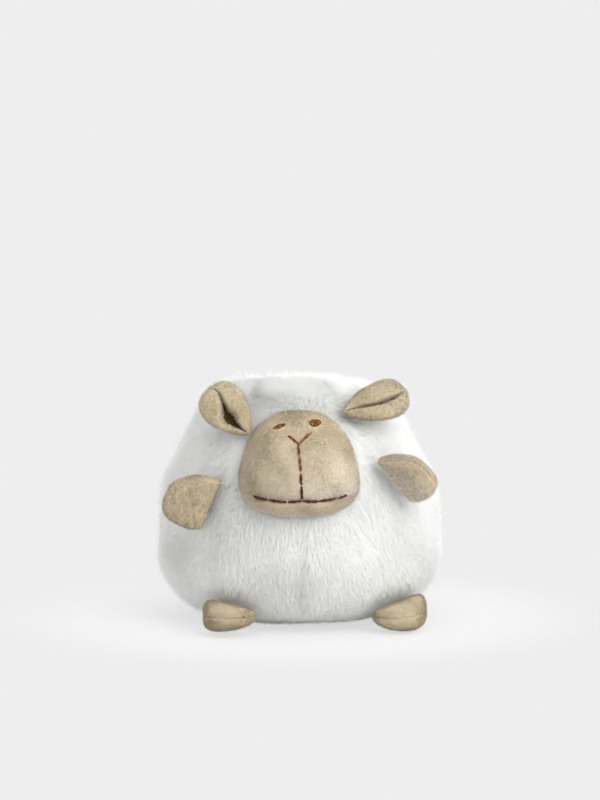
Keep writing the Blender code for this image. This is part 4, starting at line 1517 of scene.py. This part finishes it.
@dataclass
class Ear:
    """A folded leaf of short pile with a slit along its front and white fur behind."""

    name: str
    place: Matrix
    slit_shares: tuple[float, ...]
    slit_turns: tuple[float, ...]
    slit_widths: tuple[float, ...]
    slit_depths: tuple[float, ...]
    seed: int
    length: float = 40.5 * MM
    half_width: float = 14.8 * MM
    half_thickness: float = 5.6 * MM
    root_radius: float = 2.4 * MM
    widest: float = 0.66
    root_width: float = 0.30
    taper: float = 1.6
    root_squareness: float = 6.0
    inset: float = 0.8 * MM
    swell: float = 0.9 * MM
    pile: Pile = replace(SHORT_PILE, length=1.5 * MM, swirl=8 * MM)
    fur: Pile = Pile(4.6 * MM, 0.34 * MM, 5.5e6, lay=2.0, stray=0.4, frizz=0.14, swirl=10 * MM, tuft=3 * MM,
                     gather=0.05, build=Build.BENT, blur=0.97, twist=0.05)
    ground: Surface = field(init=False)
    dents: list[float] = field(default_factory=list)

    def width_at(self, share: float) -> float:
        """Half width of the leaf at a share of its length."""
        if share > self.widest:
            past = (share - self.widest) / (1.0 - self.widest)
            return self.half_width * max(0.0, 1.0 - past**2.6) ** 0.45
        before = 1.0 - share / self.widest
        narrow = math.sqrt(max(0.0, 1.0 - before**self.root_squareness))
        return self.half_width * narrow * (1.0 - (1.0 - self.root_width) * before**self.taper)

    def from_unit(self, spot: Vector) -> Vector:
        """Place on the ear for a point of the unit ball, with the slit pressed in."""
        share = (1.0 + spot.z) / 2.0
        turn = math.atan2(spot.y, spot.x)
        width = max(0.0, self.width_at(share) - self.inset)
        swell = width / self.half_width
        thick = self.half_thickness * math.sqrt(swell) * (1.0 - 0.25 * share)
        y = width * power(math.sin(turn), 0.95)
        z = -thick * power(math.cos(turn), 0.85) - 0.9 * MM * swell
        rows = (self.slit_turns, self.slit_widths, self.slit_depths)
        slit, wide, deep = (float(np.interp(share, self.slit_shares, row)) for row in rows)
        dent = deep * math.exp(-abs((turn - slit) / wide) ** 2.6)
        floor = thick * 0.75
        self.dents.append(dent)
        x = self.length * share - self.root_radius
        return self.place @ Vector((x, y * (1.0 - 0.35 * dent), z + (floor - z) * dent))

    def build(self) -> Object:
        """Build the folded leaf and return it."""
        leaf = shape(ball(f"{self.name}_plush", 96, 56), self.from_unit)
        inverse = np.array(self.place.inverted())

        def held(places: Array) -> Array:
            """Points in the slit's depth and at the root."""
            local = places @ inverse[:3, :3].T + inverse[:3, 3]
            return (local[:, 0] < 3 * MM) | ((local[:, 2] > -2.0 * MM) & (local[:, 2] < 1.5 * MM))

        puff(leaf, held, self.swell, 2.0)
        leaf.data.shade_smooth()
        # Depth in the fold, which the backing's painted shade reads.
        depth = leaf.data.attributes.new(FOLD_MAP, "FLOAT", "POINT")
        depth.data.foreach_set("value", self.dents)
        self.ground = Surface.of(leaf)
        return leaf

    def open(self, leaf: Object) -> Test:
        """Test of whether places lie outside the fold's depth."""
        tree = KDTree(len(self.dents))
        for index, vert in enumerate(leaf.data.vertices):
            tree.insert(vert.co, index)
        tree.balance()
        return lambda places: np.array([self.dents[tree.find(Vector(place))[1]] < 0.45 for place in places])

    def behind(self, places: Array, ups: Array) -> Array:
        """Whether each place is on the ear's back, away from the slit."""
        inverse = np.array(self.place.inverted())
        depth = places @ inverse[2, :3] + inverse[2, 3]
        return (depth > 0.2 * self.half_thickness) & (ups @ inverse[2, :3] > 0.3)

    def dress(self, leaf: Object, wardrobe: Wardrobe) -> None:
        """Finish the leaf and grow its pile."""
        along = towards(self.place.to_3x3() @ ALONG)
        clear = self.open(leaf)
        # Pile stays out of the fold's depth, so the backing's painted shade shows there.
        short = self.pile.grow(self.ground, along, self.seed, lambda at, up: ~self.behind(at, up) & clear(at))
        white = self.fur.grow(self.ground, along, self.seed + 1, self.behind)
        settle(dress(leaf, wardrobe.shaded_fold_cloth), self.name, "plush", f"{self.name}_lining")
        # The right ear takes the darker copy of the rough pile, with painted shade.
        finish = wardrobe.rough_right_painted_shade if self.name.endswith("right") else wardrobe.rough
        for piece in short.weave(f"{self.name}_pile", finish):
            settle(piece, self.name, "plush")
        for piece in white.weave(f"{self.name}_back_fur", wardrobe.fur):
            settle(piece, self.name, "fur", f"{self.name}_fur_back")


@dataclass
class Pad:
    """A D-shaped pad, straight at its root and full towards its round end: an arm, a foot or the tail."""

    name: str
    place: Matrix
    length: float
    half_width: float
    half_thickness: float
    skew: float
    root_radius: float
    seed: int
    high_name: str
    low_name: str
    slot: str = "plush"
    squareness: float = 2.9
    lean: float = 0.0
    swell_share: float = 0.45
    inset: float = 1.6 * MM
    swell: float = 1.0 * MM
    groove: float = 0.9 * MM
    nap: float = 1.0
    pile: Pile = SHORT_PILE
    ground: Surface = field(init=False)

    def from_unit(self, spot: Vector) -> Vector:
        """Place on the inset pad for a point of the unit ball."""
        curve = 2.0 / self.squareness
        ring = math.hypot(spot.x, spot.y)
        turn, rise = (spot.x / ring, spot.y / ring) if ring > 0.0 else (0.0, 0.0)
        chord = power(ring, curve)
        share = (1.0 + turn) / 2.0
        side = -power(spot.z, curve)
        full = (1.0 + self.swell_share * turn) * (1.0 + self.lean * side)
        return self.place @ Vector((
            self.inset - self.root_radius + (self.length - 2.0 * self.inset) * chord * share,
            (self.half_width - self.inset) * side + self.skew * chord * share,
            (self.half_thickness - self.inset) * math.sqrt(chord) * rise * full,
        ))

    def local(self, places: Array) -> Array:
        """Places in the pad's own frame."""
        inverse = np.array(self.place.inverted())
        return places @ inverse[:3, :3].T + inverse[:3, 3]

    def build(self) -> list[Object]:
        """Build the pad's two sewn sides, both closed, and return them."""
        whole = shape(ball(f"{self.name}_whole", 40, 28), self.from_unit)
        even_out(whole, 2.0 * MM)

        def held(places: Array) -> Array:
            """Points on the seam and at the root."""
            local = self.local(places)
            return (np.abs(local[:, 2]) < 1.0 * MM) | (local[:, 0] < 1.5 * MM)

        puff(whole, held, self.swell)
        refine(whole)
        press_in(whole, self.groove * bell(self.local(places_of(whole))[:, 2], 1.1 * MM), FLOOR_CLEAR + MM)
        self.ground = Surface.of(whole)
        names = (f"{self.name}_{self.high_name}", f"{self.name}_{self.low_name}")
        return halve(whole, self.place.translation, self.place.to_3x3() @ UP, names)

    def dress(self, halves: Sequence[Object], wardrobe: Wardrobe) -> None:
        """Finish both sides and grow their pile."""
        white = self.slot == "fur"
        # The right arm takes the copy of the rough pile with painted light and shade.
        beige = {"arm_left": wardrobe.rough, "arm_right": wardrobe.rough_arm_painted_light_and_shade}.get(self.name, wardrobe.plush)
        cloth, pile = (wardrobe.fur_cloth, wardrobe.fur) if white else (wardrobe.plush_cloth, beige)
        along = self.place.to_3x3() @ ALONG

        def shorter(places: Array) -> Array:
            """Pile is shorter in the seam."""
            least = 1.0 - 0.5 * self.groove / MM
            return np.clip(least + np.abs(self.local(places)[:, 2]) / (2.2 * MM), least, 1.0)

        grown = self.pile.grow(self.ground, towards(self.nap * along), self.seed, None, shorter)
        high = self.local(grown.roots)[:, 2] > 0.0
        for half, side, mask in zip(halves, (self.high_name, self.low_name), (high, ~high)):
            filled = [] if white else [f"{self.name}_filling"]
            settle(dress(half, cloth), self.name, self.slot, f"{self.name}_{side}_panel", *filled)
            for piece in grown.part(mask).weave(f"{self.name}_{side}_pile", pile):
                settle(piece, self.name, self.slot)


# The studio


@dataclass
class Studio:
    """Camera, lamps, floor and backdrop."""

    target: Vector = field(default_factory=lambda: Vector((0.625 * MM, 16.4 * MM, 133.8 * MM)))
    distance: float = 3.0
    view_height: float = 0.5
    elevation: float = math.radians(7.0)
    backdrop: float = 0.855
    ambient: float = 1.2
    key_watts: float = 29.0
    overhead_watts: float = 6.0
    floor_radius: float = 2.0
    floor_grey: float = 0.74
    fade_start: float = 0.10
    fade_end: float = 0.20
    fade_least: float = 0.75

    def camera(self) -> None:
        """Place the camera at the photograph's angle."""
        lens = bpy.data.cameras.new("camera")
        lens.sensor_width = 36.0
        lens.lens = lens.sensor_width * self.distance / self.view_height
        lens.clip_end = 30.0
        made = added("camera", lens)
        back = Vector((0.0, -math.cos(self.elevation), math.sin(self.elevation)))
        made.location = self.target + self.distance * back
        made.rotation_euler = back.to_track_quat("Z", "Y").to_euler()
        bpy.context.scene.camera = made

    def lamp(self, name: str, place: Vector, size: float, watts: float) -> None:
        """Add a soft square lamp that looks at the sheep.

        Args:
            name: Name of the lamp.
            place: Where it hangs.
            size: Length of its side.
            watts: Its power.
        """
        light = bpy.data.lights.new(name, "AREA")
        light.size = size
        light.energy = watts
        made = added(name, light)
        made.location = place
        made.rotation_euler = (place - self.target).to_track_quat("Z", "Y").to_euler()

    def sky(self) -> None:
        """Plain world: the backdrop's grey where it is seen, and a soft light all round."""
        world = bpy.data.worlds.new("sky")
        bpy.context.scene.world = world
        work = Wiring(world)
        work.tree.nodes.clear()
        around, behind = (work.node("ShaderNodeBackground", Color=(*grey(level), 1.0)).outputs[0]
                          for level in (self.ambient, self.backdrop))
        both = work.mixed(work.seen(), around, behind)
        work.link(both, work.node("ShaderNodeOutputWorld").inputs["Surface"])

    def floor(self) -> None:
        """Pale floor, which keeps the shadow near the sheep and fades into the backdrop."""
        bpy.ops.object.select_all(action="DESELECT")
        bpy.ops.mesh.primitive_circle_add(vertices=96, radius=self.floor_radius, fill_type="NGON")
        made = bpy.context.object
        made.name = "floor"
        work = new_wiring("pale_floor")
        values = work.shader.inputs
        values["Base Color"].default_value = (*grey(self.floor_grey), 1.0)
        values["Roughness"].default_value = 1.0
        values["Specular IOR Level"].default_value = 0.0
        far = work.node("ShaderNodeVectorMath", operation="LENGTH")
        work.link(work.node("ShaderNodeTexCoord").outputs["Object"], far.inputs[0])
        share = work.node("ShaderNodeMath", operation="MULTIPLY")
        fade = work.stretch(far.outputs["Value"], self.fade_start, self.fade_end, self.fade_least)
        work.link(fade, share.inputs[0])
        work.link(work.seen(), share.inputs[1])
        glow = work.node("ShaderNodeEmission", Color=(*grey(self.backdrop), 1.0))
        both = work.mixed(share.outputs[0], work.shader.outputs[0], glow.outputs[0])
        work.link(both, work.tree.nodes["Material Output"].inputs["Surface"])
        dress(made, work.owner)

    def build(self) -> None:
        """Set up the whole studio."""
        bpy.context.scene.view_settings.view_transform = "Standard"
        self.camera()
        self.sky()
        self.floor()
        self.lamp("key", Vector((0.95, -1.4, 1.0)), 1.2, self.key_watts)
        self.lamp("overhead", Vector((0.1, -0.95, 1.55)), 1.0, self.overhead_watts)


# The whole sheep


def make_ears(body: Body) -> list[Ear]:
    """Both ears, each with its own fold."""
    standoff = 2.4 * MM + SEAM_GAP
    deg = math.radians
    left = body.root(deg(-24.9), body.height - 29.8 * MM, deg(53.0), deg(31.0), standoff)
    right = body.root(deg(26.6), body.height - 19.3 * MM, deg(-92.0), deg(24.0), standoff)
    return [
        Ear("ear_left", left, (0.0, 0.15, 0.3, 0.4, 0.5, 0.64, 0.84, 1.0),
            (-0.3, -0.3, -0.33, -0.33, -0.24, 0.0, 0.22, 0.3), (0.1, 0.12, 0.3, 0.42, 0.24, 0.1, 0.07, 0.06),
            (0.0, 0.7, 0.95, 1.0, 1.0, 0.85, 0.55, 0.0), 31, 37.0 * MM),
        Ear("ear_right", right, (0.0, 0.12, 0.35, 0.6, 0.78, 0.9, 1.0),
            (0.2, 0.2, 0.25, 0.25, 0.2, 0.1, 0.0), (0.1, 0.09, 0.09, 0.1, 0.1, 0.08, 0.08),
            (0.0, 0.7, 0.85, 0.95, 0.8, 0.5, 0.0), 41),
    ]


def make_pads(body: Body) -> list[Pad]:
    """Arms, feet and tail."""
    standoff = 2.2 * MM + SEAM_GAP
    deg = math.radians
    tail_fur = Pile(5.6 * MM, 0.36 * MM, 5.0e6, lay=1.4, stray=0.4, frizz=0.2, swirl=12 * MM, tuft=3 * MM,
                    gather=0.1, build=Build.BENT, blur=0.96, twist=0.05)
    return [
        Pad("arm_left", body.root(deg(-36.0), body.waist + 28.6 * MM, deg(67), deg(38), standoff),
            33.0 * MM, 18.8 * MM, 8.2 * MM, -5.0 * MM, 2.2 * MM, 51, "back", "front"),
        Pad("arm_right", body.root(deg(41.0), body.waist + 43.0 * MM, deg(-51), deg(78), standoff),
            31.0 * MM, 18.8 * MM, 8.2 * MM, 5.0 * MM, 2.2 * MM, 53, "back", "front", nap=-1.0),
        Pad("foot_left", body.root(deg(-30.4), 14.2 * MM, 0.0, deg(43), standoff),
            27.0 * MM, 18.8 * MM, 9.6 * MM, 1.0 * MM, 2.2 * MM, 55, "upper", "sole", squareness=2.05,
            lean=-0.22, groove=0.5 * MM),
        Pad("foot_right", body.root(deg(48.5), 13.6 * MM, deg(6), deg(43), standoff),
            27.0 * MM, 21.8 * MM, 10.4 * MM, -5.0 * MM, 2.2 * MM, 57, "upper", "sole", squareness=2.05,
            lean=0.22, groove=0.4 * MM),
        Pad("tail", body.root(math.pi, body.waist + 11 * MM, math.pi, deg(40), 0.7 * MM + SEAM_GAP),
            26.0 * MM, 11.0 * MM, 5.5 * MM, 0.0, 0.7 * MM, 59, "under", "outer", "fur", pile=tail_fur),
    ]


def main() -> None:
    """Build the studio and then the sheep, piece by piece."""
    logging.basicConfig(level=logging.INFO, format="%(message)s")
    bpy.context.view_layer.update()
    Studio().build()
    wardrobe = Wardrobe()
    body = Body()
    skin = body.build()
    LOG.info("body: stuffed")
    face = Face(body)
    halves = face.build()
    LOG.info("face: stuffed")
    ears = [(ear, ear.build()) for ear in make_ears(body)]
    pads = [(pad, pad.build()) for pad in make_pads(body)]
    LOG.info("ears, arms, feet and tail: stuffed")
    body.dress(skin, wardrobe)
    face.dress(halves, wardrobe)
    face.embroider(wardrobe)
    face.comb(wardrobe)
    LOG.info("face: sewn and combed")
    for piece, built in (*ears, *pads):
        piece.dress(built, wardrobe)
        LOG.info("%s: combed", piece.name)
    body.comb(wardrobe, face.ground, [piece.ground for piece, _ in (*ears, *pads)])
    LOG.info("body: combed")


if __name__ == "__main__":
    main()
